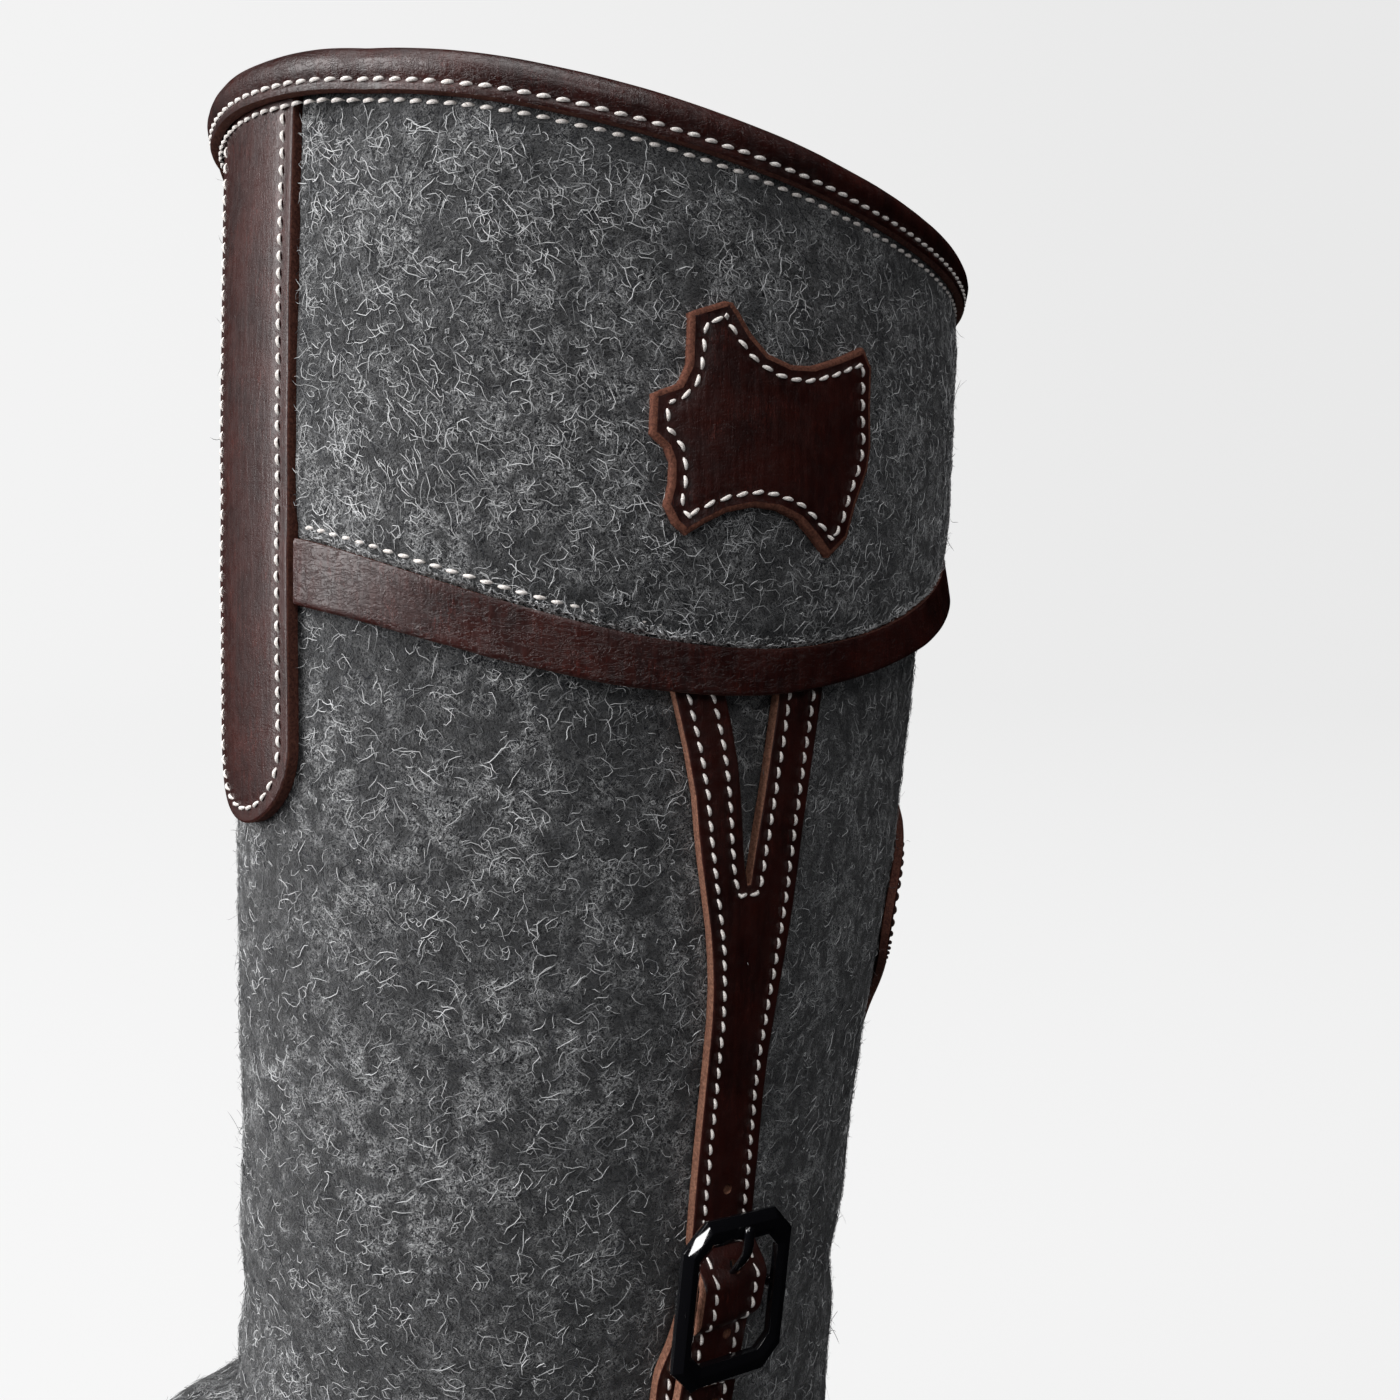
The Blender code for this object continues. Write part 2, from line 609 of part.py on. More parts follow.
def make_back_stay(mat):
    """Tall leather tongue up the back line: a narrow stem from the sole and a broad round head."""
    # Half width along the back line: row, half width below the round top.
    widths = ((-5.4, 49.5), (-4.2, 49.5), (-3.8, 45.0), (-3.4, 34.5), (-3.0, 25.5), (-2.6, 20.5),
              (-2.0, 17.0), (-0.8, 14.5), (0.8, 14.0), (2.0, 14.5), (3.0, 16.0), (3.9, 18.0))
    top_rows = (-5.4, -5.37, -5.3, -5.17, -5.0, -4.75, -4.4, -4.05)
    neck_rows = (-3.75, -3.5, -3.25, -3.0, -2.7, -2.3, -1.7, -0.9)
    rows = list(top_rows) + list(neck_rows) + list(np.arange(0.0, 3.91, 0.39))
    round_rows = 1.6
    columns = 11
    outer, inner = [], []
    for row in rows:
        whole = ring_length(row)
        down = min(1.0, (row - rows[0] + 0.002) / round_rows)
        half = float(cubic(widths, 1, row)) * math.sqrt(1 - (1 - down) ** 2)
        for c in range(columns):
            angle = angle_at(whole / 2 + half * (2 * c / (columns - 1) - 1), row)
            inner.append(skin(np.array(angle), np.array(row), STAY_LIFT))
            outer.append(skin(np.array(angle), np.array(row), STAY_LIFT + STAY_THICKNESS))
    points, solid = sheet_solid(outer, inner, grid_faces(len(rows), columns))
    return make_object("back_stay", points, solid, mat)


def ring_length(row):
    angles = np.linspace(0.0, 2 * math.pi, 181)
    points = bare_skin(angles, np.full_like(angles, row))
    return float(np.linalg.norm(np.diff(points, axis=0), axis=1).sum())


def make_insole(mat):
    """Felt insole lying on the inside of the upper's bottom."""
    rows = list(np.arange(5.25, 12.6, 0.73))
    spread = (-0.72, -0.5, -0.25, 0.0, 0.25, 0.5, 0.72)
    outer, inner = [], []
    for row in rows:
        for s in spread:
            angle = math.pi + s
            low = skin(np.array(angle), np.array(row), -WALL - 2 * GAP)
            inner.append(low)
            outer.append(low + np.array((0.0, 0.0, INSOLE_THICKNESS)))
    points, solid = sheet_solid(outer, inner, grid_faces(len(rows), len(spread)))
    return make_object("insole", points, solid, mat)


def foot_outline(stations, grow):
    """Half widths of the foot seen from above, grown by the rim, at each y of stations."""
    rows, angles = np.meshgrid(np.linspace(1.0, LAST_ROW, 420), np.linspace(0, 2 * math.pi, 361))
    cloud = skin(angles, rows, grow).reshape(-1, 3)
    cloud = cloud[cloud[:, 2] < 46.0]
    outer, inner = [], []
    for y in stations:
        near = cloud[np.abs(cloud[:, 1] - y) < 0.7]
        outer.append(near[:, 0].max())
        inner.append(near[:, 0].min())
    return np.array(outer), np.array(inner), cloud[:, 1].min(), cloud[:, 1].max()


def sole_bottom(y):
    """Height of the tread's plane: flat heel and ball, raised arch, sprung toe."""
    arch = ARCH_RISE * smooth_step(HEEL_BREAST - 1.0, HEEL_BREAST - 3.0, y)
    arch *= 1 - smooth_step(-35.0, -92.0, y)
    spring = TOE_SPRING * np.clip((TOE_SPRING_START - y) / 52.0, 0.0, 1.0) ** 1.6
    return arch + spring


def sole_top(y):
    """Height of the rim that holds the felt."""
    table = ((-212.0, 34.0), (-190.0, 29.5), (-150.0, 23.5), (-120.0, 22.5), (-60.0, 27.0),
             (0.0, 30.0), (40.0, 31.0), (75.0, 33.0))
    return cubic(table, 1, y)


def sole_stations(low, high):
    """Places along the sole, close at the round ends and doubled at each groove."""
    middle, half = (low + high) / 2, (high - low) / 2
    turns = [0.25] + list(range(1, 18)) + [17.75]
    ends = [middle + half * math.cos(math.pi * k / 18) for k in turns]
    grooves = [y for y in np.arange(-178.0, -84.0, LUG_PITCH)]
    grooves += [y for y in np.arange(HEEL_BREAST + 11.0, high - 8.0, LUG_PITCH)]
    marks = []
    for y in grooves:
        marks += [(y - GROOVE / 2 - 0.4, 0.0), (y - GROOVE / 2, LUG_DEPTH),
                  (y + GROOVE / 2, LUG_DEPTH), (y + GROOVE / 2 + 0.4, 0.0)]
    taken = [y for y, _ in marks]
    for y in ends + [HEEL_BREAST, HEEL_BREAST - 3.5]:
        if all(abs(y - t) > 0.9 for t in taken) and not any(
                abs(y - g) < GROOVE / 2 + 1 for g in grooves):
            marks.append((y, 0.0))
            taken.append(y)
    return sorted(marks)


def make_outsole(mat):
    """Rubber sole: stepped and ribbed side, lugs, heel, arch and a rim cut by the felt."""
    probe = foot_outline([0.0], SOLE_RIM)
    low, high = probe[2] + 0.2, probe[3] - 0.2
    marks = sole_stations(low, high)
    ys = np.array([low] + [y for y, _ in marks] + [high])
    depth = np.array([0.0] + [d for _, d in marks] + [0.0])
    clear = np.clip(ys, low + 0.8, high - 0.8)
    outer, inner, _, _ = foot_outline(clear, SOLE_RIM)
    middle = (outer + inner) / 2
    for i in (0, -1):
        outer[i] = middle[i] + (outer[i] - middle[i]) * 0.4
        inner[i] = middle[i] + (inner[i] - middle[i]) * 0.4
    # Levels of the side: part of the height from tread to rim, step out from the outline.
    levels = ((0.0, -1.0), (0.16, 0.6), (0.34, 0.6), (0.38, -0.9), (0.46, -0.9), (0.5, 0.4),
              (0.62, 0.4), (0.66, -0.2), (1.0, -0.8))
    bottom, top = sole_bottom(ys), sole_top(ys)
    count = len(ys)
    loop = [(i, 1) for i in range(count)] + [(i, -1) for i in reversed(range(count))]
    outline = np.array([((outer if s > 0 else inner)[i], ys[i]) for i, s in loop])
    tangent = np.roll(outline, -1, axis=0) - np.roll(outline, 1, axis=0)
    outward = np.stack([tangent[:, 1], -tangent[:, 0]], -1)
    outward /= np.linalg.norm(outward, axis=1, keepdims=True)
    rings = []
    for part, step in levels:
        ring = []
        for (i, _), place, out in zip(loop, outline, outward):
            cut = depth[i] * (1.0 if part < 0.1 else (0.6 if part < 0.2 else 0.0))
            z = bottom[i] + (top[i] - bottom[i]) * part + cut
            ring.append((place[0] + out[0] * step, place[1] + out[1] * step * 0.5, z))
        rings.append(ring)
    points, faces = loft(rings, closed=False, caps=False)
    total = 2 * count
    for level in (0, len(rings) - 1):
        base = level * total
        for i in range(count - 1):
            a, b = base + i, base + total - 1 - i
            faces.append((a, a + 1, b - 1, b))
    sole = make_object("outsole", points, faces, mat, smooth=30.0)
    points, faces = capped_form(upper_rings(GAP + 0.1))
    form = make_object("foot_form_tool", points, faces, mat)
    form.hide_render = True
    form.display_type = "WIRE"
    cut = sole.modifiers.new("seat of the foot", "BOOLEAN")
    cut.operation = "DIFFERENCE"
    cut.object = form
    return sole


def main():
    for obj in list(bpy.data.objects):
        bpy.data.objects.remove(obj, do_unlink=True)
    felt = material("felt", (0.065, 0.070, 0.080), 0.95)
    leather = material("leather", (0.085, 0.020, 0.015), 0.38)
    metal = material("black metal", (0.01, 0.01, 0.011), 0.12, 0.9)
    rubber = material("rubber", (0.02, 0.02, 0.021), 0.75)
    lining = material("insole felt", (0.30, 0.29, 0.28), 0.95)
    make_upper(felt)
    make_cuff(felt)
    make_binding(leather)
    make_front_strip(leather)
    make_band(leather)
    strap = make_y_strap(leather)
    make_lower_strap(leather)
    make_buckle_frame(metal)
    make_buckle_prong(metal)
    punch_strap(strap, leather)
    make_patch(leather)
    make_back_stay(leather)
    make_insole(lining)
    make_outsole(rubber)


main()
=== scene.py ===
"""Looks of the felt boot: felt with loose fibres, leather trim, sewn threads, buckle, rubber sole.

Lengths are in millimetres and become metres when a mesh is made. Places on the upper are given as
in the part's source: an angle round the leg (0 at the front line, 90 on the outer side) and a row
(below zero on the shaft, above zero round the foot), or a way round from the front line and a height.
"""

import math

import bmesh
import bpy
import numpy as np
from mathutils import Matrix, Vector


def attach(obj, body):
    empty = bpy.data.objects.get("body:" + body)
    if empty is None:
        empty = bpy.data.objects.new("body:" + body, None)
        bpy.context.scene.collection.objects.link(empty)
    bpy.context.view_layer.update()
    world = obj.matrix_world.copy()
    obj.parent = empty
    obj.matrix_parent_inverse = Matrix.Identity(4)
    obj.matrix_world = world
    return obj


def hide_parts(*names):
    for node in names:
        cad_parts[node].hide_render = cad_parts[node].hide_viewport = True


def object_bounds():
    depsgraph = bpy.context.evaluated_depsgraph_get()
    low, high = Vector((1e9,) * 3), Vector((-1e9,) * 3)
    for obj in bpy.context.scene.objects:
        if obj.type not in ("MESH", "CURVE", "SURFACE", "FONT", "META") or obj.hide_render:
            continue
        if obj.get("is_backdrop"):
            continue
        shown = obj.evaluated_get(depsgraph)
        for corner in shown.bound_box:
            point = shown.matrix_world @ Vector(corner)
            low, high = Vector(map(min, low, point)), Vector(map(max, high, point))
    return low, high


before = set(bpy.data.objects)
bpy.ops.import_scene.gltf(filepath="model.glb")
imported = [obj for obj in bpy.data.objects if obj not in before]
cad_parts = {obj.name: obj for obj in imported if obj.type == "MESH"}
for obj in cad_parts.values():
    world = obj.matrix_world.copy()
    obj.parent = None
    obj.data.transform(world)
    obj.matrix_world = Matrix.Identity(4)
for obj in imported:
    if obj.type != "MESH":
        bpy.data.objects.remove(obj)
CAD_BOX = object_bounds()

MM = 0.001
GAP = 0.3
Y_SHIFT = 57.35
TURN = 2 * math.pi

# The upper's form, as in the part's source.
WALL = 5.0
JOIN_HEIGHT = 130.0
ROW_STEP = 20.0
# Level rings of the shaft: height, y of the front line, y of the back line, half width.
SHAFT_ROWS = (
    (90.0, -69.6, 60.0, 51.0),
    (130.0, -69.0, 62.0, 52.5),
    (180.0, -68.2, 69.5, 55.0),
    (230.0, -67.0, 78.5, 58.5),
    (280.0, -66.0, 85.0, 60.8),
    (330.0, -64.3, 87.0, 61.2),
    (380.0, -61.8, 89.5, 61.8),
)
SHAFT_WIDEST = 0.47
SHAFT_BACK_POWER = 1.85
# Rows of the foot: y and z on the top line, y and z on the back or bottom line, half width,
# where the ring is widest (0 top, 1 bottom), squareness of its lower half, shift to the outer side.
FOOT_ROWS = (
    (-71.0, 128.2, 61.0, 108.0, 50.5, 0.48, 1.9, 0.0),
    (-80.8, 131.3, 62.0, 84.0, 47.5, 0.50, 2.0, 0.0),
    (-93.0, 129.4, 65.5, 58.0, 44.0, 0.53, 2.1, 0.0),
    (-105.0, 120.6, 66.0, 36.0, 41.5, 0.57, 2.3, 0.0),
    (-115.8, 110.2, 52.0, 21.5, 40.5, 0.60, 2.6, 0.0),
    (-126.2, 99.6, 24.0, 20.0, 41.0, 0.62, 2.9, 1.0),
    (-137.0, 90.0, -12.0, 19.5, 42.5, 0.63, 3.0, 2.0),
    (-148.2, 81.6, -50.0, 17.0, 45.5, 0.64, 3.1, 3.0),
    (-160.0, 72.5, -88.0, 14.0, 49.0, 0.65, 3.1, 2.0),
    (-172.0, 67.5, -121.0, 12.5, 51.0, 0.65, 3.0, 0.0),
    (-183.5, 61.5, -149.0, 13.5, 49.0, 0.64, 2.8, -3.0),
    (-193.5, 54.0, -172.0, 16.0, 43.5, 0.62, 2.6, -6.0),
    (-201.5, 45.5, -189.0, 19.5, 34.5, 0.60, 2.4, -8.5),
    (-206.6, 38.0, -201.0, 24.0, 22.5, 0.57, 2.2, -10.0),
    (-208.9, 33.5, -207.4, 28.0, 9.5, 0.55, 2.0, -10.5),
)
LAST_ROW = float(len(FOOT_ROWS))
TOP_ROW = -12.5
TOE_CROWN = 0.4

# Heights that vary with the angle a: level + tilt cos a + bow cos 2a.
RIM = (357.6, 12.6, 1.2)
CUFF_EDGE = (284.2, -2.2, 11.0)
BAND_EDGE = (275.0, -3.4, 9.8)
UPPER_BELOW_RIM = 3.0

STRIP_HALF_WIDTH = 14.5
STRIP_THICKNESS = 2.8
STRIP_TIP = 241.5
CUFF_THIN = 1.2
CUFF_THICK = 4.0
BAND_THICKNESS = 1.8
BINDING_THICKNESS = 1.7
BINDING_OUTER_LEG = 7.5
BINDING_INNER_LEG = 9.0
STRAP_THICKNESS = 2.2
LOWER_STRAP_LIFT = 2 * GAP
LOWER_STRAP_HALF_WIDTH = 6.6

BUCKLE_ARC = 90.6
BUCKLE_HEIGHT = 158.0
FRAME_HALF_WIDTH = 12.4
FRAME_HALF_HEIGHT = 15.4
FRAME_CORNER = 4.6
FRAME_SIDE_BAR = 3.5
FRAME_END_BAR = 4.6
FRAME_THICKNESS = 2.6
FRAME_LIFT = 6.2
CENTRE_BAR_RADIUS = 1.1
CENTRE_BAR_LIFT = 3.9
PRONG_RADIUS = 1.0

PATCH_CENTRE = (97.0, 309.0)
PATCH_LIFT = CUFF_THICK + 2 * GAP
PATCH_THICKNESS = 2.0
# Outline of the hide-shaped patch, across and up from its centre.
PATCH_OUTLINE = (
    (-17.0, 18.5), (-10.3, 21.0), (-8.6, 19.0), (-6.4, 15.8), (-3.2, 12.8), (1.2, 11.4),
    (5.6, 11.6), (11.0, 13.4), (17.4, 16.0), (19.8, 12.8), (19.9, 5.5), (20.4, -1.0),
    (19.7, -5.2), (16.8, -11.2), (14.8, -17.2), (10.4, -20.6), (7.2, -17.4), (3.8, -14.4),
    (-0.4, -12.8), (-5.0, -12.4), (-9.8, -13.4), (-13.4, -15.2), (-16.6, -17.2), (-18.6, -15.4),
    (-20.2, -12.4), (-19.4, -9.0), (-19.4, -5.6), (-20.2, -3.4), (-22.6, -1.2), (-22.5, 5.4),
    (-18.4, 7.0), (-17.0, 10.2),
)

STAY_LIFT = 0.5
STAY_THICKNESS = 2.0
INSOLE_THICKNESS = 3.0

SOLE_RIM = 3.6
HEEL_BREAST = 16.0
ARCH_RISE = 6.0
TOE_SPRING_START = -158.0
TOE_SPRING = 8.0
LUG_DEPTH = 3.0
GROOVE = 4.0
LUG_PITCH = 15.0

STITCH_PITCH = 2.8
STITCH_LENGTH = 2.25
THREAD_RADIUS = 0.36

# Camera: the photo's view of the boot.
CAMERA_PLACE = (0.2493, -0.10955, 0.2857)
CAMERA_FORWARD = (-0.7742, 0.6269, -0.0872)
FOCAL_PIXELS = 1451.0
PHOTO_PIXELS = 1400.0
SENSOR = 36.0


def cubic(table, column, at):
    """Smooth curve through one column of a table, read at a value of its first column."""
    xs = np.array([row[0] for row in table], float)
    ys = np.array([row[column] for row in table], float)
    slopes = np.gradient(ys, xs)
    at = np.clip(np.asarray(at, float), xs[0], xs[-1])
    i = np.clip(np.searchsorted(xs, at) - 1, 0, len(xs) - 2)
    span = xs[i + 1] - xs[i]
    t = (at - xs[i]) / span
    start = (2 * t**3 - 3 * t**2 + 1) * ys[i] + (t**3 - 2 * t**2 + t) * span * slopes[i]
    end = (3 * t**2 - 2 * t**3) * ys[i + 1] + (t**3 - t**2) * span * slopes[i + 1]
    return start + end


def shaft_row(row):
    """The ring of the shaft at a row of zero or less, in the columns of FOOT_ROWS."""
    height = JOIN_HEIGHT - ROW_STEP * row
    front, back, half = (float(cubic(SHAFT_ROWS, k, height)) for k in (1, 2, 3))
    return (row, front, height, back, height, half, SHAFT_WIDEST, SHAFT_BACK_POWER, 0.0)


ROWS = tuple(shaft_row(-k) for k in (2, 1, 0)) + tuple(
    (k + 1.0,) + row for k, row in enumerate(FOOT_ROWS)
)


def ring_values(row):
    """Front, back, half width, widest place, squareness and shift of the ring at each row."""
    row = np.asarray(row, float)
    foot = [cubic(ROWS, k, row) for k in range(1, 9)]
    height = JOIN_HEIGHT - ROW_STEP * row
    shaft = [cubic(SHAFT_ROWS, k, height) for k in (1, 2, 3)]
    on_shaft = row < 0
    values = (
        (foot[0], shaft[0]), (foot[1], height), (foot[2], shaft[1]), (foot[3], height),
        (foot[4], shaft[2]), (foot[5], SHAFT_WIDEST), (foot[6], SHAFT_BACK_POWER), (foot[7], 0.0),
    )
    return [np.where(on_shaft, level, fanned) for fanned, level in values]


def bare_skin(angle, row):
    """Point of the upper's outer surface, without its normal."""
    angle = np.asarray(angle, float)
    front_y, front_z, back_y, back_z, half, widest, power, shift = ring_values(row)
    middle_y = front_y + (back_y - front_y) * widest
    middle_z = front_z + (back_z - front_z) * widest
    across, along = np.sin(angle), np.cos(angle)
    back = np.abs(along) ** (2 / power)
    at_front = along > 0
    x = np.where(at_front, across, np.sign(across) * np.abs(across) ** (2 / power)) * half + shift
    y = middle_y + np.where(at_front, (front_y - middle_y) * along, (back_y - middle_y) * back)
    z = middle_z + np.where(at_front, (front_z - middle_z) * along, (back_z - middle_z) * back)
    return np.stack(np.broadcast_arrays(x, y, z), -1)


def skin_frame(angle, row):
    """Point, outward normal, and the steps of the surface for a turn and for a row."""
    step = 1e-3
    point = bare_skin(angle, row)
    round_leg = (bare_skin(angle + step, row) - bare_skin(angle - step, row)) / (2 * step)
    down_leg = (bare_skin(angle, row + step) - bare_skin(angle, row - step)) / (2 * step)
    normal = np.cross(down_leg, round_leg)
    normal /= np.linalg.norm(normal, axis=-1, keepdims=True) + 1e-12
    return point, normal, round_leg, down_leg


def skin(angle, row, lift=0.0):
    """Point at a lift above the upper's outer surface; a negative lift lies in the wall."""
    point, normal, _, _ = skin_frame(np.asarray(angle, float), np.asarray(row, float))
    return point + normal * np.asarray(lift, float)[..., None]


def bowed(form, angle):
    """Height of an edge that runs round the leg, from its level, tilt and bow."""
    return form[0] + form[1] * np.cos(angle) + form[2] * np.cos(2 * angle)


def row_at(height):
    return (JOIN_HEIGHT - np.asarray(height, float)) / ROW_STEP


def smooth_step(low, high, value):
    t = np.clip((value - low) / (high - low), 0.0, 1.0)
    return t * t * (3 - 2 * t)


class ArcTable:
    """Angles for a way round from the front line, looked up on a grid of rows and ways."""

    STEP_ROW = 0.1
    STEP_ARC = 0.5
    LONGEST = 430.0

    def __init__(self):
        self.rows = np.arange(TOP_ROW, 8.0 + self.STEP_ROW, self.STEP_ROW)
        angles = np.linspace(0.0, TURN, 721)
        points = bare_skin(angles[None, :], self.rows[:, None])
        steps = np.linalg.norm(np.diff(points, axis=1), axis=2)
        lengths = np.concatenate([np.zeros((len(self.rows), 1)), np.cumsum(steps, axis=1)], axis=1)
        self.whole = lengths[:, -1]
        arcs = np.arange(0.0, self.LONGEST + self.STEP_ARC, self.STEP_ARC)
        self.grid = np.array([np.interp(arcs, row, angles) for row in lengths])

    def angle(self, arc, row):
        arc, row = np.broadcast_arrays(np.asarray(arc, float), np.asarray(row, float))
        i = np.clip((row - self.rows[0]) / self.STEP_ROW, 0, len(self.rows) - 1.001)
        j = np.clip(np.abs(arc) / self.STEP_ARC, 0, self.grid.shape[1] - 1.001)
        i0, j0 = i.astype(int), j.astype(int)
        s, t = i - i0, j - j0
        low = self.grid[i0, j0] * (1 - t) + self.grid[i0, j0 + 1] * t
        high = self.grid[i0 + 1, j0] * (1 - t) + self.grid[i0 + 1, j0 + 1] * t
        return np.sign(arc) * (low * (1 - s) + high * s)

    def ring_length(self, row):
        return np.interp(row, self.rows, self.whole)


ARCS = ArcTable()


def wrap(arc, height, lift):
    """Points over the shaft for a flat pattern: way round from the front line, height, lift."""
    row = row_at(height)
    return skin(ARCS.angle(arc, row), row, lift)


def from_front(angle):
    """Degrees between an angle and the front line, whichever way is shorter."""
    return np.degrees(np.abs((np.asarray(angle) + math.pi) % TURN - math.pi))


def cuff_thickness(angle):
    return CUFF_THIN + (CUFF_THICK - CUFF_THIN) * smooth_step(14.0, 50.0, from_front(angle))


def beside_strip(space, height):
    """Angle at a space beside the front strip."""
    return float(ARCS.angle(STRIP_HALF_WIDTH + space, row_at(height)))


def under_binding(angle):
    """How far what lies under the binding's outer leg stands off the upper."""
    strip = (GAP + STRIP_THICKNESS) * (1 - smooth_step(18.0, 45.0, from_front(angle)))
    return np.maximum(GAP + cuff_thickness(angle), strip)


def lattice_value(cell, seed):
    """Repeatable value from 0 to 1 for each whole-number cell."""
    mixed = (cell[..., 0] * 73856093) ^ (cell[..., 1] * 19349663) ^ (cell[..., 2] * 83492791)
    mixed = (mixed ^ (seed * 2654435761)) & 0xFFFFFFFF
    mixed = ((mixed ^ (mixed >> 15)) * 2246822519) & 0xFFFFFFFF
    mixed = ((mixed ^ (mixed >> 13)) * 3266489917) & 0xFFFFFFFF
    return (mixed ^ (mixed >> 16)) / 4294967295.0


def lumps(points, size, seed):
    """Smooth relief from -1 to 1 with lumps of a given size."""
    at = np.asarray(points, float) / size
    base = np.floor(at).astype(np.int64)
    t = at - base
    t = t * t * (3 - 2 * t)
    total = 0.0
    for dx in (0, 1):
        for dy in (0, 1):
            for dz in (0, 1):
                weight = (np.abs(1 - dx - t[..., 0]) * np.abs(1 - dy - t[..., 1])
                          * np.abs(1 - dz - t[..., 2]))
                total = total + weight * lattice_value(base + np.array([dx, dy, dz]), seed)
    return 2 * total - 1


def felt_relief(points):
    """Soft unevenness of the felt's outer surface."""
    return (0.55 * lumps(points, 38.0, 3) + 0.30 * lumps(points, 13.0, 5)
            + 0.16 * lumps(points, 4.5, 7))


# Soft creases of the felt, across the instep and over the heel: row, how deep, how wide in rows,
# angle of the middle and how far round it runs, in degrees.
CREASES = (
    (0.35, 1.9, 0.30, 0.0, 62.0),
    (-0.65, 0.9, 0.40, 20.0, 55.0),
    (1.6, 1.0, 0.45, -10.0, 48.0),
    (-0.2, 0.9, 0.35, 150.0, 45.0),
    (-2.9, 0.6, 0.6, 60.0, 60.0),
    (8.6, 1.1, 0.5, 8.0, 55.0),
    (9.7, 0.8, 0.45, -12.0, 50.0),
)


def crease_relief(angle, row):
    """Troughs with a low ridge on each side."""
    total = np.zeros(np.broadcast(angle, row).shape)
    for middle, depth, width, centre, reach in CREASES:
        away = (np.asarray(row) - middle - 0.25 * np.sin(2 * np.asarray(angle) + middle)) / width
        side = np.degrees((np.asarray(angle) - math.radians(centre) + math.pi) % TURN - math.pi)
        fade = np.exp(-(side / reach) ** 4)
        total -= depth * fade * (np.exp(-away**2) - 0.45 * np.exp(-((np.abs(away) - 1.7) ** 2)))
    return total


def rough_skin(angle, row, lift=0.0):
    """Point over the felt's own uneven surface."""
    point, normal, _, _ = skin_frame(np.asarray(angle, float), np.asarray(row, float))
    relief = felt_relief(point) + crease_relief(angle, row)
    return point + normal * (relief * calm(row) + np.asarray(lift, float))[..., None]


def calm(row):
    """Share of the relief that is left: little under the trim, none on the sole's seat."""
    row = np.asarray(row, float)
    return (0.35 + 0.65 * smooth_step(-6.8, -6.2, row)) * (1 - 0.7 * smooth_step(13.5, 15.0, row))


# Building of meshes


def linked(name, data):
    """New object in the scene for a mesh, a light or a camera."""
    obj = bpy.data.objects.new(name, data)
    bpy.context.scene.collection.objects.link(obj)
    return obj


def make_mesh(name, points, faces, materials, face_slots=None, sharp=40.0):
    """Mesh object from points in millimetres, moved to where the frame has the boot."""
    points = np.asarray(points, float) + np.array([0.0, Y_SHIFT, 0.0])
    mesh = bpy.data.meshes.new(name)
    mesh.from_pydata((points * MM).tolist(), [], [tuple(int(i) for i in f) for f in faces])
    for mat in materials:
        mesh.materials.append(mat)
    if face_slots is not None:
        mesh.polygons.foreach_set("material_index", np.asarray(face_slots, np.int32))
    mesh.shade_smooth()
    mesh.set_sharp_from_angle(angle=math.radians(sharp))
    return linked(name, mesh)


def face_outwards(obj):
    bm = bmesh.new()
    bm.from_mesh(obj.data)
    bmesh.ops.recalc_face_normals(bm, faces=bm.faces[:])
    if bm.calc_volume(signed=True) < 0:
        bmesh.ops.reverse_faces(bm, faces=bm.faces[:])
    bm.to_mesh(obj.data)
    bm.free()
    return obj


def place(obj, slot, *nodes):
    """Put a piece on the body and hide the nodes that it stands for; the slot is not used."""
    if nodes:
        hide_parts(*nodes)
    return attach(obj, "root")


def ring_faces(rings, count, closed_rings=False):
    """Quads between rings of equally many points, each ring closed on itself."""
    last = rings if closed_rings else rings - 1
    i, j = np.meshgrid(np.arange(last), np.arange(count), indexing="ij")
    a, b = i * count, ((i + 1) % rings) * count
    k = (j + 1) % count
    return np.stack([a + j, a + k, b + k, b + j], -1).reshape(-1, 4)


def swept(name, sections, closed, materials, slot_of=None, sharp=40.0):
    """Solid swept through sections; slot_of gives a material for each side of the section."""
    sections = np.asarray(sections, float)
    rings, count = sections.shape[:2]
    faces = ring_faces(rings, count, closed).tolist()
    slots = [slot_of[f % count] if slot_of is not None else 0 for f in range(len(faces))]
    if not closed:
        end = (rings - 1) * count
        faces.append(list(range(count)))
        faces.append([end + j for j in reversed(range(count))])
        slots += [max(slots)] * 2
    obj = make_mesh(name, sections.reshape(-1, 3), faces, materials, slots, sharp)
    return face_outwards(obj)


def resample(outline, step):
    """Closed outline with points about a step apart, keeping its corners."""
    points = []
    for (ax, ay), (bx, by) in zip(outline, outline[1:] + outline[:1]):
        count = max(1, round(math.hypot(bx - ax, by - ay) / step))
        points += [(ax + (bx - ax) * k / count, ay + (by - ay) * k / count) for k in range(count)]
    return np.array(points)


def rounded(outline, passes):
    """Outline with its corners cut and smoothed."""
    points = [tuple(p) for p in outline]
    for _ in range(passes):
        cut = []
        for a, b in zip(points, points[1:] + points[:1]):
            for t in (0.25, 0.75):
                cut.append((a[0] + (b[0] - a[0]) * t, a[1] + (b[1] - a[1]) * t))
        points = cut
    return points


def inward(points):
    """Unit vectors that point into a closed outline, at each of its points."""
    along = np.roll(points, -1, axis=0) - np.roll(points, 1, axis=0)
    along /= np.linalg.norm(along, axis=1, keepdims=True) + 1e-9
    area = np.sum(points[:, 0] * np.roll(points[:, 1], -1) - points[:, 1] * np.roll(points[:, 0], -1))
    side = np.stack([-along[:, 1], along[:, 0]], -1)
    return side if area > 0 else -side


def inset(points, distance):
    return points + inward(points) * distance


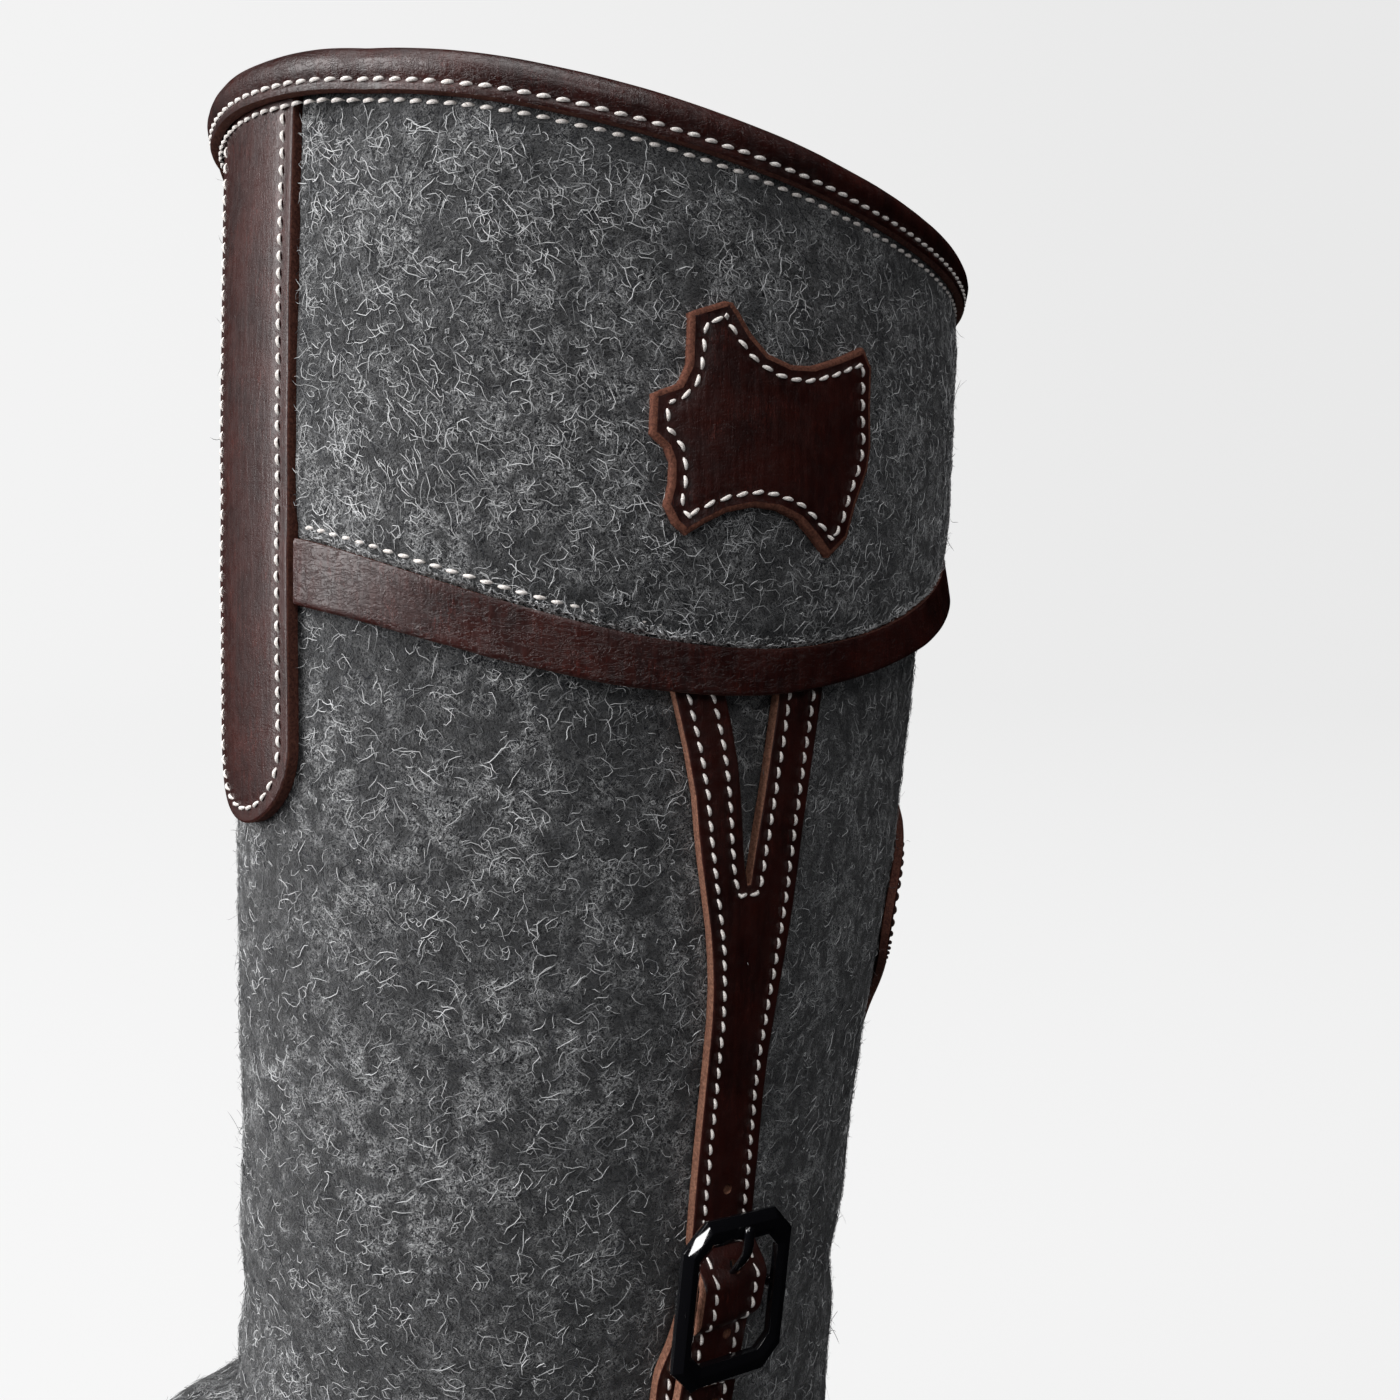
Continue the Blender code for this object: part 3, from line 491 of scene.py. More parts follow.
def distance_to(path, points):
    """Shortest way from each point to a run of points."""
    best = np.full(len(points), 1e9)
    for a, b in zip(path[:-1], path[1:]):
        run = b - a
        t = np.clip(((points - a) @ run) / (run @ run + 1e-12), 0.0, 1.0)
        best = np.minimum(best, np.linalg.norm(points - (a + t[:, None] * run), axis=1))
    return best


GRAIN, RAW, FLESH = range(3)


def leather_piece(name, outline, lift, thickness, seams, mats, step=1.0, edge=0.45, smooth=2,
                  onto=wrap, hollow=0.28, raw_from=2):
    """Leather cut to a flat outline and bent over its seat, with round edges and seam grooves.

    lift(arc, height) is where its back lies, seams are runs of points where it is sewn, and onto
    maps a way round, a height and a lift to a point.
    """
    rim = resample(rounded(list(outline), smooth) if smooth else list(outline), step)
    inner = inset(rim, edge)
    bm = bmesh.new()
    bm.faces.new([bm.verts.new((x, 0.0, z)) for x, z in inner])
    for axis in (0, 1):
        low, high = inner[:, axis].min(), inner[:, axis].max()
        normal = (1, 0, 0) if axis == 0 else (0, 0, 1)
        for value in np.arange(math.ceil(low / step) * step, high, step):
            bmesh.ops.bisect_plane(bm, geom=bm.verts[:] + bm.edges[:] + bm.faces[:], dist=1e-4,
                                   plane_co=tuple(value * n for n in normal), plane_no=normal)
    bmesh.ops.triangulate(bm, faces=[f for f in bm.faces if len(f.verts) > 4])
    bm.verts.index_update()
    flat = np.array([(v.co.x, v.co.z) for v in bm.verts])
    faces = [[v.index for v in f.verts] for f in bm.faces]
    boundary = [e for e in bm.edges if len(e.link_faces) == 1]
    loop = walk(boundary)
    bm.free()
    edge_flat = flat[loop]
    outward = -inward(edge_flat)
    sink = np.zeros(len(flat))
    for seam in seams:
        sink += hollow * np.exp(-(distance_to(np.asarray(seam), flat) / 0.75) ** 2)
    back = lift(flat[:, 0], flat[:, 1])
    top = onto(flat[:, 0], flat[:, 1], back + thickness - np.minimum(sink, hollow))
    under = onto(flat[:, 0], flat[:, 1], back)
    layers = [top, under]
    # Rounded edge: how far out, how far down from the top, and the bottom itself.
    profile = [(0.30 * edge, 0.03), (0.70 * edge, 0.12), (0.95 * edge, 0.32), (edge, 0.60),
               (1.02 * edge, thickness * 0.5), (edge, thickness - 0.25)]
    for out, down in profile:
        at = edge_flat + outward * out
        layers.append(onto(at[:, 0], at[:, 1], lift(at[:, 0], at[:, 1]) + thickness - down))
    points = np.concatenate(layers)
    size = len(flat)
    slots = [GRAIN] * len(faces) + [FLESH] * len(faces)
    faces += [[size + i for i in reversed(face)] for face in faces]
    count = len(loop)
    previous = list(loop)
    for k in range(len(profile) + 1):
        start = 2 * size + k * count
        last = k == len(profile)
        current = [size + i for i in loop] if last else list(range(start, start + count))
        for j in range(count):
            n = (j + 1) % count
            faces.append([previous[j], previous[n], current[n], current[j]])
            slots.append(GRAIN if k < raw_from else RAW)
        previous = current
    obj = make_mesh(name, points, faces, mats, slots, 50.0)
    return face_outwards(obj)


def walk(edges):
    """Vertex numbers along a closed loop of edges."""
    links = {}
    for e in edges:
        a, b = (v.index for v in e.verts)
        links.setdefault(a, []).append(b)
        links.setdefault(b, []).append(a)
    start = edges[0].verts[0].index
    loop, before, now = [start], start, links[start][0]
    while now != start:
        loop.append(now)
        nexts = [n for n in links[now] if n != before]
        before, now = now, nexts[0]
    return loop


def along_path(path, closed=False):
    """Path as an array with its lengths; a closed one comes back to its first point."""
    path = np.asarray(path, float)
    if closed:
        path = np.concatenate([path, path[:1]])
    lengths = np.concatenate([[0.0], np.cumsum(np.linalg.norm(np.diff(path, axis=0), axis=1))])
    return path, lengths


class Threads:
    """Collects the stitches of one piece and joins them into one mesh."""

    SIDES = 6
    STATIONS = np.array([0.0, 0.07, 0.2, 0.36, 0.5, 0.64, 0.8, 0.93, 1.0])

    def __init__(self, radius=THREAD_RADIUS):
        self.points, self.faces = [], []
        self.radius = radius
        self.made = 0

    def sew(self, path, onto, lift, closed=False, pitch=STITCH_PITCH, length=STITCH_LENGTH):
        """Stitches along a run of flat points; lift(a, h) is the surface they lie on."""
        path, lengths = along_path(path, closed)
        count = max(1, round(lengths[-1] / pitch))
        spacing = lengths[-1] / count
        share = min(1.0, length / pitch)
        for k in range(count):
            start = (k + (1 - share) / 2) * spacing
            ts = start + share * spacing * self.STATIONS
            flat = np.stack([np.interp(ts, lengths, path[:, c]) for c in (0, 1)], -1)
            self.stitch(flat, onto, lift)

    def stitch(self, flat, onto, lift):
        run = flat[-1] - flat[0]
        size = np.linalg.norm(run) + 1e-9
        side = np.array([-run[1], run[0]]) / size
        wobble = lattice_value(np.array([[self.made, 3, 7]]), 5)[0] - 0.5
        arch = np.sin(math.pi * self.STATIONS)
        ends = self.radius * (0.55 + 0.45 * np.sqrt(np.clip(arch, 0, 1)))
        lean = (self.STATIONS - 0.5) * 0.34 + 0.16 * wobble
        middle = flat + side * lean[:, None]
        rise = -0.55 + (0.55 + self.radius * 0.75) * np.clip(arch, 0, 1) ** 0.45
        base = lift(middle[:, 0], middle[:, 1])
        place_of = onto(middle[:, 0], middle[:, 1], base + rise)
        above = onto(middle[:, 0], middle[:, 1], base + rise + 0.5)
        normal = (above - place_of) / 0.5
        along = np.gradient(place_of, axis=0)
        along /= np.linalg.norm(along, axis=1, keepdims=True) + 1e-9
        across = np.cross(along, normal)
        turns = np.arange(self.SIDES) * TURN / self.SIDES
        ring = (np.cos(turns)[None, :, None] * across[:, None, :]
                + 0.85 * np.sin(turns)[None, :, None] * normal[:, None, :])
        points = place_of[:, None, :] + ring * ends[:, None, None]
        start = sum(len(p) for p in self.points)
        self.points.append(points.reshape(-1, 3))
        faces = ring_faces(len(self.STATIONS), self.SIDES) + start
        end = start + (len(self.STATIONS) - 1) * self.SIDES
        self.faces += faces.tolist()
        self.faces += [list(range(start, start + self.SIDES)),
                       [end + j for j in reversed(range(self.SIDES))]]
        self.made += 1

    def finish(self, name, mat, slot):
        obj = make_mesh(name, np.concatenate(self.points), self.faces, [mat], None, 60.0)
        return place(face_outwards_each(obj), slot)


def face_outwards_each(obj):
    """Turn the faces of a mesh of many closed bodies outwards."""
    bm = bmesh.new()
    bm.from_mesh(obj.data)
    bmesh.ops.recalc_face_normals(bm, faces=bm.faces[:])
    bm.to_mesh(obj.data)
    bm.free()
    return obj


# Materials


class Nodes:
    """A material's node tree, with short calls for what most of the materials use."""

    def __init__(self, name):
        self.mat = bpy.data.materials.new(name)
        self.mat.use_nodes = True
        self.tree = self.mat.node_tree
        self.shader = self.tree.nodes["Principled BSDF"]
        self.coordinates = self.tree.nodes.new("ShaderNodeTexCoord").outputs["Object"]

    def node(self, kind, **values):
        made = self.tree.nodes.new(kind)
        for key, value in values.items():
            setattr(made, key, value)
        return made

    def join(self, source, target):
        self.tree.links.new(source, target)

    def set_or_join(self, socket, value):
        """Give a socket a number or a colour, or join another node's output to it."""
        if isinstance(value, tuple):
            socket.default_value = (*value, 1.0)
        elif isinstance(value, (int, float)):
            socket.default_value = value
        else:
            self.join(value, socket)

    def scaled(self, stretch=1.0, shift=0.0):
        """Object coordinates in millimetres, stretched along Z and moved aside."""
        mapping = self.node("ShaderNodeMapping")
        mapping.inputs["Scale"].default_value = (1.0 / MM, 1.0 / MM, 1.0 / stretch / MM)
        mapping.inputs["Location"].default_value = (shift, shift * 1.7, shift * 0.6)
        self.join(self.coordinates, mapping.inputs["Vector"])
        return mapping.outputs["Vector"]

    def noise(self, size, detail=3.0, rough=0.55, warp=0.0, stretch=1.0, shift=0.0):
        """Noise from 0 to 1 with features of a size in millimetres."""
        made = self.node("ShaderNodeTexNoise")
        made.inputs["Scale"].default_value = 1.0 / size
        made.inputs["Detail"].default_value = detail
        made.inputs["Roughness"].default_value = rough
        made.inputs["Distortion"].default_value = warp
        self.join(self.scaled(stretch, shift), made.inputs["Vector"])
        return made.outputs["Fac"]

    def cells(self, size):
        """Distance to the nearest of many spots that lie a size in millimetres apart."""
        made = self.node("ShaderNodeTexVoronoi", feature="F1")
        made.inputs["Scale"].default_value = 1.0 / size
        self.join(self.scaled(), made.inputs["Vector"])
        return made.outputs["Distance"]

    def sum(self, kind, a, b):
        made = self.node("ShaderNodeMath", operation=kind)
        for socket, value in zip(made.inputs, (a, b)):
            self.set_or_join(socket, value)
        return made.outputs[0]

    def spread(self, value, low, high, to_low=0.0, to_high=1.0):
        """Soft step of a value from one range to another."""
        made = self.node("ShaderNodeMapRange", interpolation_type="SMOOTHSTEP")
        self.join(value, made.inputs["Value"])
        for key, number in (("From Min", low), ("From Max", high), ("To Min", to_low),
                            ("To Max", to_high)):
            made.inputs[key].default_value = number
        return made.outputs["Result"]

    def line(self, value, width, middle=0.5):
        """1 along a level of a noise, 0 away from it: thin curly lines."""
        away = self.sum("ABSOLUTE", self.sum("SUBTRACT", value, middle), 0.0)
        return self.spread(away, 0.0, width, 1.0, 0.0)

    def mix(self, share, a, b):
        """Colour between two others; a Mix node's colours are its inputs 6 and 7 and output 2."""
        made = self.node("ShaderNodeMix", data_type="RGBA")
        self.join(share, made.inputs["Factor"])
        self.set_or_join(made.inputs[6], a)
        self.set_or_join(made.inputs[7], b)
        return made.outputs[2]

    def colour(self, value):
        self.set_or_join(self.shader.inputs["Base Color"], value)

    def bump(self, height, depth, strength):
        """Bump whose full height is a depth in millimetres."""
        made = self.node("ShaderNodeBump")
        made.inputs["Strength"].default_value = strength
        made.inputs["Distance"].default_value = depth * MM
        self.join(height, made.inputs["Height"])
        self.join(made.outputs["Normal"], self.shader.inputs["Normal"])

    def set(self, **values):
        """Set inputs of the shader by short names, and give back the finished material."""
        names = {"rough": "Roughness", "sheen": "Sheen Weight", "sheen_rough": "Sheen Roughness",
                 "coat": "Coat Weight", "coat_rough": "Coat Roughness",
                 "specular": "Specular IOR Level"}
        for key, value in values.items():
            self.set_or_join(self.shader.inputs[names[key]], value)
        return self.mat


FELT_DARK = (0.0020, 0.0023, 0.0042)
FELT_MID = (0.021, 0.022, 0.0255)
FELT_PALE = (0.60, 0.605, 0.61)


def felt_material(name, lift=1.0):
    """Heather grey wool felt: dark tufts, a grey web, pale curly fibres."""
    n = Nodes(name)
    tufts = n.noise(2.3, 4.0, 0.62, 0.4)
    web = n.noise(0.9, 3.0, 0.6, 1.2, shift=7.0)
    tone = n.spread(n.sum("ADD", n.sum("MULTIPLY", tufts, 0.5), n.sum("MULTIPLY", web, 0.5)),
                    0.455, 0.565)
    colour = n.mix(tone, tuple(c * lift for c in FELT_DARK), tuple(c * lift for c in FELT_MID))
    patches = n.spread(n.noise(16.0, 2.0, 0.5, shift=3.0), 0.35, 0.68, 0.25, 1.0)
    where = n.spread(n.noise(3.4, 2.0, 0.5, shift=11.0), 0.38, 0.60, 0.12, 1.0)
    first = n.line(n.noise(1.7, 2.0, 0.5, 1.4, shift=5.0), 0.036)
    second = n.line(n.noise(1.2, 2.0, 0.5, 1.8, shift=19.0), 0.040)
    third = n.line(n.noise(2.4, 3.0, 0.6, 2.2, shift=31.0), 0.026)
    lines = n.sum("MAXIMUM", first, n.sum("MAXIMUM", second, third))
    share = n.sum("MULTIPLY", n.sum("MULTIPLY", lines, where), patches)
    colour = n.mix(share, colour, tuple(c * lift for c in FELT_PALE))
    n.colour(colour)
    fine = n.noise(0.45, 3.0, 0.7, 0.8, shift=2.0)
    height = n.sum("ADD", n.sum("MULTIPLY", tone, 0.9), n.sum("MULTIPLY", fine, 0.35))
    height = n.sum("ADD", height, n.sum("MULTIPLY", lines, 0.35))
    n.bump(height, 0.55, 0.9)
    return n.set(rough=0.95, sheen=0.25, sheen_rough=0.6, specular=0.15)


def fibre_material(name, colour):
    n = Nodes(name)
    shade = n.noise(6.0, 2.0, 0.5, shift=4.0)
    n.colour(n.mix(n.spread(shade, 0.3, 0.7), tuple(c * 0.6 for c in colour), colour))
    return n.set(rough=0.7, sheen=0.2, specular=0.3)


def leather_material(name, dark, warm, gloss, creased=0.0):
    """Smooth dyed leather: mottled colour, pores, fine creases, a soft broad sheen."""
    n = Nodes(name)
    cloud = n.spread(n.noise(14.0, 4.0, 0.6, 0.5), 0.32, 0.70)
    streak = n.noise(1.3, 4.0, 0.65, 0.3, 7.0, 9.0)
    colour = n.mix(n.sum("MULTIPLY", n.spread(streak, 0.42, 0.72), 0.55), dark, warm)
    colour = n.mix(n.sum("MULTIPLY", cloud, 0.45), colour, tuple(c * 1.35 for c in warm))
    scuff = n.line(n.noise(0.7, 3.0, 0.6, 0.5, 9.0, 41.0), 0.022)
    scuffed = n.spread(n.noise(7.0, 3.0, 0.6, 0.4, shift=47.0), 0.45, 0.68)
    scuff = n.sum("MULTIPLY", scuff, scuffed)
    n.colour(n.mix(n.sum("MULTIPLY", scuff, 0.5), colour, tuple(c * 3.2 for c in warm)))
    pores = n.spread(n.cells(0.55), 0.0, 0.5)
    pebble = n.noise(0.8, 3.0, 0.6, 0.4, shift=6.0)
    wrinkle = n.line(n.noise(2.8, 3.0, 0.6, 1.1, 0.35, 14.0), 0.05)
    height = n.sum("ADD", n.sum("MULTIPLY", pores, 0.20), n.sum("MULTIPLY", pebble, 0.55))
    height = n.sum("SUBTRACT", height, n.sum("MULTIPLY", wrinkle, 0.15 + creased))
    height = n.sum("ADD", height, n.sum("MULTIPLY", n.spread(streak, 0.3, 0.7), 0.45))
    n.bump(height, 0.15, 0.7)
    rough = n.spread(n.noise(3.0, 4.0, 0.7, 0.5, shift=21.0), 0.3, 0.7, gloss - 0.07, gloss + 0.12)
    return n.set(rough=rough, specular=0.5, coat=0.12, coat_rough=0.30)


def raw_leather_material(name, pale, dark):
    """Cut leather: brushed fibres, pale with darker flecks."""
    n = Nodes(name)
    flecks = n.noise(0.5, 4.0, 0.7, 0.6)
    n.colour(n.mix(n.spread(flecks, 0.35, 0.66), dark, pale))
    n.bump(flecks, 0.16, 0.8)
    return n.set(rough=0.88, specular=0.2)


def thread_material(name, dark, pale):
    """Waxed thread with a tight twist, its colour darker in the twist's low places as painted shade
    in the grooves.
    """
    n = Nodes(name)
    twist = n.noise(0.35, 2.0, 0.5, 0.4, 0.6)
    # The first colour fills the twist's low places: painted shade in its grooves, over the real bump
    # below.
    n.colour(n.mix(n.spread(twist, 0.35, 0.6), dark, pale))
    n.bump(twist, 0.12, 0.7)
    return n.set(rough=0.55, sheen=0.1)


def enamel_material():
    """Glossy black enamel on cast metal, with faint waves and dust."""
    n = Nodes("black_enamel")
    n.colour((0.004, 0.004, 0.005))
    n.bump(n.noise(4.0, 2.0, 0.5), 0.02, 0.3)
    rough = n.spread(n.noise(1.5, 4.0, 0.7), 0.35, 0.75, 0.05, 0.12)
    return n.set(rough=rough, specular=0.6, coat=1.0, coat_rough=0.03)


def rubber_material():
    n = Nodes("rubber")
    dust = n.spread(n.noise(9.0, 4.0, 0.6, 0.5), 0.45, 0.75)
    n.colour(n.mix(n.sum("MULTIPLY", dust, 0.5), (0.012, 0.012, 0.013), (0.035, 0.034, 0.033)))
    grain = n.noise(0.5, 3.0, 0.7)
    n.bump(grain, 0.10, 0.6)
    return n.set(rough=0.62, specular=0.4)


def insole_material():
    n = Nodes("insole_felt")
    nap = n.noise(1.2, 4.0, 0.7, 1.2)
    n.colour(n.mix(n.spread(nap, 0.35, 0.65), (0.17, 0.165, 0.16), (0.36, 0.35, 0.33)))
    n.bump(nap, 0.35, 0.8)
    return n.set(rough=0.95, sheen=0.3)


def floor_material():
    """Pale matt sweep with a glow of its own that is painted light, a little dimmer towards one side
    of the room as a painted falloff.
    """
    n = Nodes("floor")
    n.colour((0.07, 0.07, 0.07))
    n.shader.inputs["Emission Color"].default_value = (1.0, 1.0, 1.0, 1.0)
    apart = n.node("ShaderNodeSeparateXYZ")
    n.join(n.coordinates, apart.inputs["Vector"])
    across = n.sum("ADD", n.sum("MULTIPLY", apart.outputs["X"], 0.63),
                   n.sum("MULTIPLY", apart.outputs["Y"], 0.78))
    # Painted light: the glow falls off from one side of the room to the other, in place of the lamps'
    # falloff.
    glow = n.spread(across, -2.6, 2.6, 0.885, 0.795)
    n.join(glow, n.shader.inputs["Emission Strength"])
    return n.set(rough=0.9, specular=0.1)


FELT = felt_material("felt")
FELT_INSIDE = felt_material("felt_inside", 1.15)
FIBRES = [fibre_material("fibre_pale", (0.62, 0.625, 0.63)),
          fibre_material("fibre_grey", (0.15, 0.153, 0.16)),
          fibre_material("fibre_dark", (0.012, 0.013, 0.020))]
LEATHER = leather_material("leather", (0.016, 0.0026, 0.0020), (0.044, 0.0082, 0.0056), 0.38)
BINDING_LEATHER = leather_material("binding_leather", (0.016, 0.0028, 0.0022),
                                   (0.045, 0.0088, 0.0062), 0.36, 0.2)
BAND_LEATHER = leather_material("band_leather", (0.017, 0.0028, 0.0022),
                                (0.050, 0.0096, 0.0066), 0.38, 0.45)
TAN_EDGE = raw_leather_material("raw_edge_tan", (0.30, 0.145, 0.095), (0.13, 0.055, 0.036))
BROWN_EDGE = raw_leather_material("raw_edge_brown", (0.15, 0.058, 0.040), (0.060, 0.020, 0.015))
PATCH_EDGE = raw_leather_material("raw_edge_patch", (0.17, 0.066, 0.042), (0.075, 0.026, 0.017))
FLESH_SIDE = raw_leather_material("flesh_side", (0.20, 0.095, 0.065), (0.10, 0.045, 0.030))
# Each thread's first colour is painted shade for the twist's grooves; the second is the thread's own
# colour.
THREAD = thread_material("thread", (0.62, 0.56, 0.52), (0.95, 0.90, 0.86))
BROWN_THREAD = thread_material("brown_thread", (0.030, 0.010, 0.008), (0.070, 0.024, 0.018))
ENAMEL = enamel_material()
RUBBER = rubber_material()
INSOLE = insole_material()


# Felt pieces


def make_upper():
    """Hollow felted boot: an uneven outer skin, a smoother inner one, joined round the collar."""
    around, shaft_rings, foot_rings = 216, 110, 96
    angles = np.linspace(0.0, TURN, around, endpoint=False)
    collar = bowed(RIM, angles) - UPPER_BELOW_RIM
    outer, inner = [], []
    for k in range(shaft_rings):
        rows = row_at(collar + (JOIN_HEIGHT - collar) * k / shaft_rings)
        outer.append(rough_skin(angles, rows))
        if k % 3 == 0:
            inner.append(skin(angles, rows, -WALL))
    for k, row in enumerate(np.linspace(0.0, LAST_ROW, foot_rings)):
        rows = np.full_like(angles, row)
        outer.append(rough_skin(angles, rows))
        if k % 3 == 0:
            inner.append(skin(angles, rows, -WALL))
    points = [np.concatenate(outer), np.concatenate(inner)]
    poles = []
    for rings in (outer, inner):
        pole = rings[-1].mean(axis=0)
        pole[1] = rings[-1][:, 1].min() - TOE_CROWN
        poles.append(pole)
    points = np.concatenate(points + [np.array(poles)])
    outside = ring_faces(len(outer), around).tolist()
    start = len(outer) * around
    inside = (ring_faces(len(inner), around)[:, ::-1] + start).tolist()
    tip = start + len(inner) * around
    outer_end, inner_end = start - around, tip - around
    for j in range(around):
        k = (j + 1) % around
        outside.append([outer_end + j, outer_end + k, tip])
        inside.append([inner_end + k, inner_end + j, tip + 1])
        inside.append([k, j, start + j, start + k])
    slots = [0] * len(outside) + [1] * len(inside)
    obj = make_mesh("felt_upper", points, outside + inside, [FELT, FELT_INSIDE], slots, 80.0)
    return place(face_outwards(obj), "felt", "upper")


def cuff_lift(angle, part):
    """Lift of the cuff's face at a part of its height: it swells a little between its edges."""
    swell = 0.7 * np.sin(math.pi * np.clip(part, 0, 1)) * smooth_step(20.0, 60.0, from_front(angle))
    return GAP + cuff_thickness(angle) + swell


def cuff_low(angle):
    """Height of the cuff's lower edge, slightly ragged."""
    place_of = skin(angle, row_at(bowed(CUFF_EDGE, angle)))
    return bowed(CUFF_EDGE, angle) + 0.35 * lumps(place_of, 6.0, 23) + 0.2 * lumps(place_of, 2.2, 29)


def cuff_high(angle):
    return bowed(RIM, angle) - UPPER_BELOW_RIM


CUFF_SEAM = 1.9
CUFF_HEIGHT = 84.0


def cuff_surface(angle, part, extra=0.0):
    """Point over the cuff's outer face, at a part of its height from its lower edge."""
    low, high = cuff_low(angle), cuff_high(angle)
    rows = row_at(low + (high - low) * part)
    seat, normal, _, _ = skin_frame(angle, rows)
    relief = 0.45 * lumps(seat, 11.0, 41) + 0.22 * lumps(seat, 4.0, 43)
    relief = relief * (1 - 0.75 * smooth_step(0.86, 0.94, part))
    seam = 0.45 * np.exp(-(((part * (high - low)) - CUFF_SEAM) / 1.0) ** 2)
    edge = np.sqrt(np.clip(1 - np.clip(1 - part * (high - low) / 1.6, 0, 1) ** 2, 0, 1))
    lift = cuff_lift(angle, part) - (1 - edge) * 1.4 + relief * 0.8 - seam
    return seat + normal * (lift + extra)[..., None]


def make_cuff():
    start = beside_strip(GAP + 0.2, 300.0)
    angles = np.linspace(start, TURN - start, 380)
    parts = np.concatenate([np.array([0.0, 0.35, 0.8, 1.3, 1.9, 2.6, 3.4]) / CUFF_HEIGHT,
                            np.linspace(4.8 / CUFF_HEIGHT, 1.0, 46)])
    sections = [cuff_surface(angles, np.full_like(angles, p)) for p in parts]
    low, high = cuff_low(angles), cuff_high(angles)
    for part in (1.0, 0.6, 0.3, 0.0):
        sections.append(skin(angles, row_at(low + (high - low) * part), GAP))
    obj = swept("felt_cuff", np.stack(sections, 1), False, [FELT], None, 80.0)
    return place(obj, "felt", "cuff")


def make_insole():
    rows = np.linspace(5.25, 12.55, 60)
    spread = math.pi + np.linspace(-0.72, 0.72, 36)
    angle, row = np.meshgrid(spread, rows)
    low = skin(angle, row, -WALL - 2 * GAP)
    worn = 0.35 * lumps(low, 22.0, 51)
    high = low + np.array([0.0, 0.0, 1.0]) * (INSOLE_THICKNESS + worn - 0.35)[..., None]
    count, wide = row.shape
    points = np.concatenate([high.reshape(-1, 3), low.reshape(-1, 3)])
    size = count * wide
    i, j = np.meshgrid(np.arange(count - 1), np.arange(wide - 1), indexing="ij")
    a = (i * wide + j).ravel()
    top = np.stack([a, a + 1, a + wide + 1, a + wide], -1)
    faces = top.tolist() + (top[:, ::-1] + size).tolist()
    rim = ([(0, k) for k in range(wide)] + [(k, wide - 1) for k in range(1, count)]
           + [(count - 1, k) for k in reversed(range(wide - 1))]
           + [(k, 0) for k in reversed(range(1, count - 1))])
    loop = [r * wide + c for r, c in rim]
    for a, b in zip(loop, loop[1:] + loop[:1]):
        faces.append([b, a, size + a, size + b])
    obj = make_mesh("insole_pad", points, faces, [INSOLE], None, 50.0)
    return place(face_outwards(obj), "insole_felt", "insole")


# Loose fibres of the felt


def fibres(name, surface, starts, seed, length=(1.6, 6.0), width=0.058, tones=(0.55, 0.32, 0.13),
           stand=0.0, segments=4, curl=1.5):
    """Thin curly ribbons that lie on a surface; stand is how high their free ends rise.

    surface(u, v, lift) gives points; starts are the roots as u and v.
    """
    rng = np.random.default_rng(seed)
    u, v = starts
    count = len(u)
    step = 1e-3
    origin = surface(u, v, np.zeros(count))
    by_u = (surface(u + step, v, np.zeros(count)) - origin) / step
    by_v = (surface(u, v + step, np.zeros(count)) - origin) / step
    size_u = np.linalg.norm(by_u, axis=1) + 1e-6
    size_v = np.linalg.norm(by_v, axis=1) + 1e-6
    heading = rng.uniform(0, TURN, count)
    turn = rng.normal(0, curl, count)
    wave = rng.uniform(0, TURN, count)
    long = rng.uniform(*length, count)
    wide = width * rng.uniform(0.6, 1.3, count)
    rise = rng.uniform(0.15, 1.0, count)
    lines = []
    x, y = np.zeros(count), np.zeros(count)
    for k in range(segments + 1):
        t = k / segments
        if stand > 0:
            lift = -0.15 + stand * rise * t ** 1.5
        else:
            lift = -0.12 + (0.20 + 0.30 * rise) * math.sin(math.pi * min(1.0, t * 1.1 + 0.02)) ** 0.5
        lines.append(surface(u + x / size_u, v + y / size_v, lift))
        bend = heading + turn * t * 2.2 + 0.7 * np.sin(wave + 5.0 * t)
        x = x + np.cos(bend) * long / segments
        y = y + np.sin(bend) * long / segments
    lines = np.stack(lines, 1)
    along = np.gradient(lines, axis=1)
    along /= np.linalg.norm(along, axis=2, keepdims=True) + 1e-9
    normal = np.cross(by_u, by_v)
    normal /= np.linalg.norm(normal, axis=1, keepdims=True) + 1e-9
    facing = normal + rng.normal(0, 0.45 if stand == 0 else 1.2, (count, 3))
    side = np.cross(along, facing[:, None, :])
    side /= np.linalg.norm(side, axis=2, keepdims=True) + 1e-9
    taper = np.array([0.35] + [1.0] * (segments - 1) + [0.25])
    offset = side * (wide[:, None] * taper[None, :])[..., None]
    points = np.stack([lines - offset, lines + offset], 2).reshape(-1, 3)
    base = np.arange(count)[:, None] * (segments + 1) * 2
    k = np.arange(segments)[None, :] * 2
    a = (base + k).ravel()
    faces = np.stack([a, a + 1, a + 3, a + 2], -1)
    tone = rng.choice(3, count, p=tones)
    obj = quick_mesh(name, points, faces, FIBRES, np.repeat(tone, segments))
    return place(obj, "felt")


def quick_mesh(name, points, faces, materials, slots):
    """Mesh of quads from arrays, for pieces with very many faces."""
    points = (np.asarray(points) + np.array([0.0, Y_SHIFT, 0.0])) * MM
    mesh = bpy.data.meshes.new(name)
    mesh.vertices.add(len(points))
    mesh.vertices.foreach_set("co", points.astype(np.float32).ravel())
    mesh.loops.add(faces.size)
    mesh.loops.foreach_set("vertex_index", faces.astype(np.int32).ravel())
    mesh.polygons.add(len(faces))
    mesh.polygons.foreach_set("loop_start", np.arange(0, faces.size, 4, dtype=np.int32))
    for mat in materials:
        mesh.materials.append(mat)
    mesh.polygons.foreach_set("material_index", slots.astype(np.int32))
    mesh.update(calc_edges=True)
    mesh.shade_smooth()
    return linked(name, mesh)


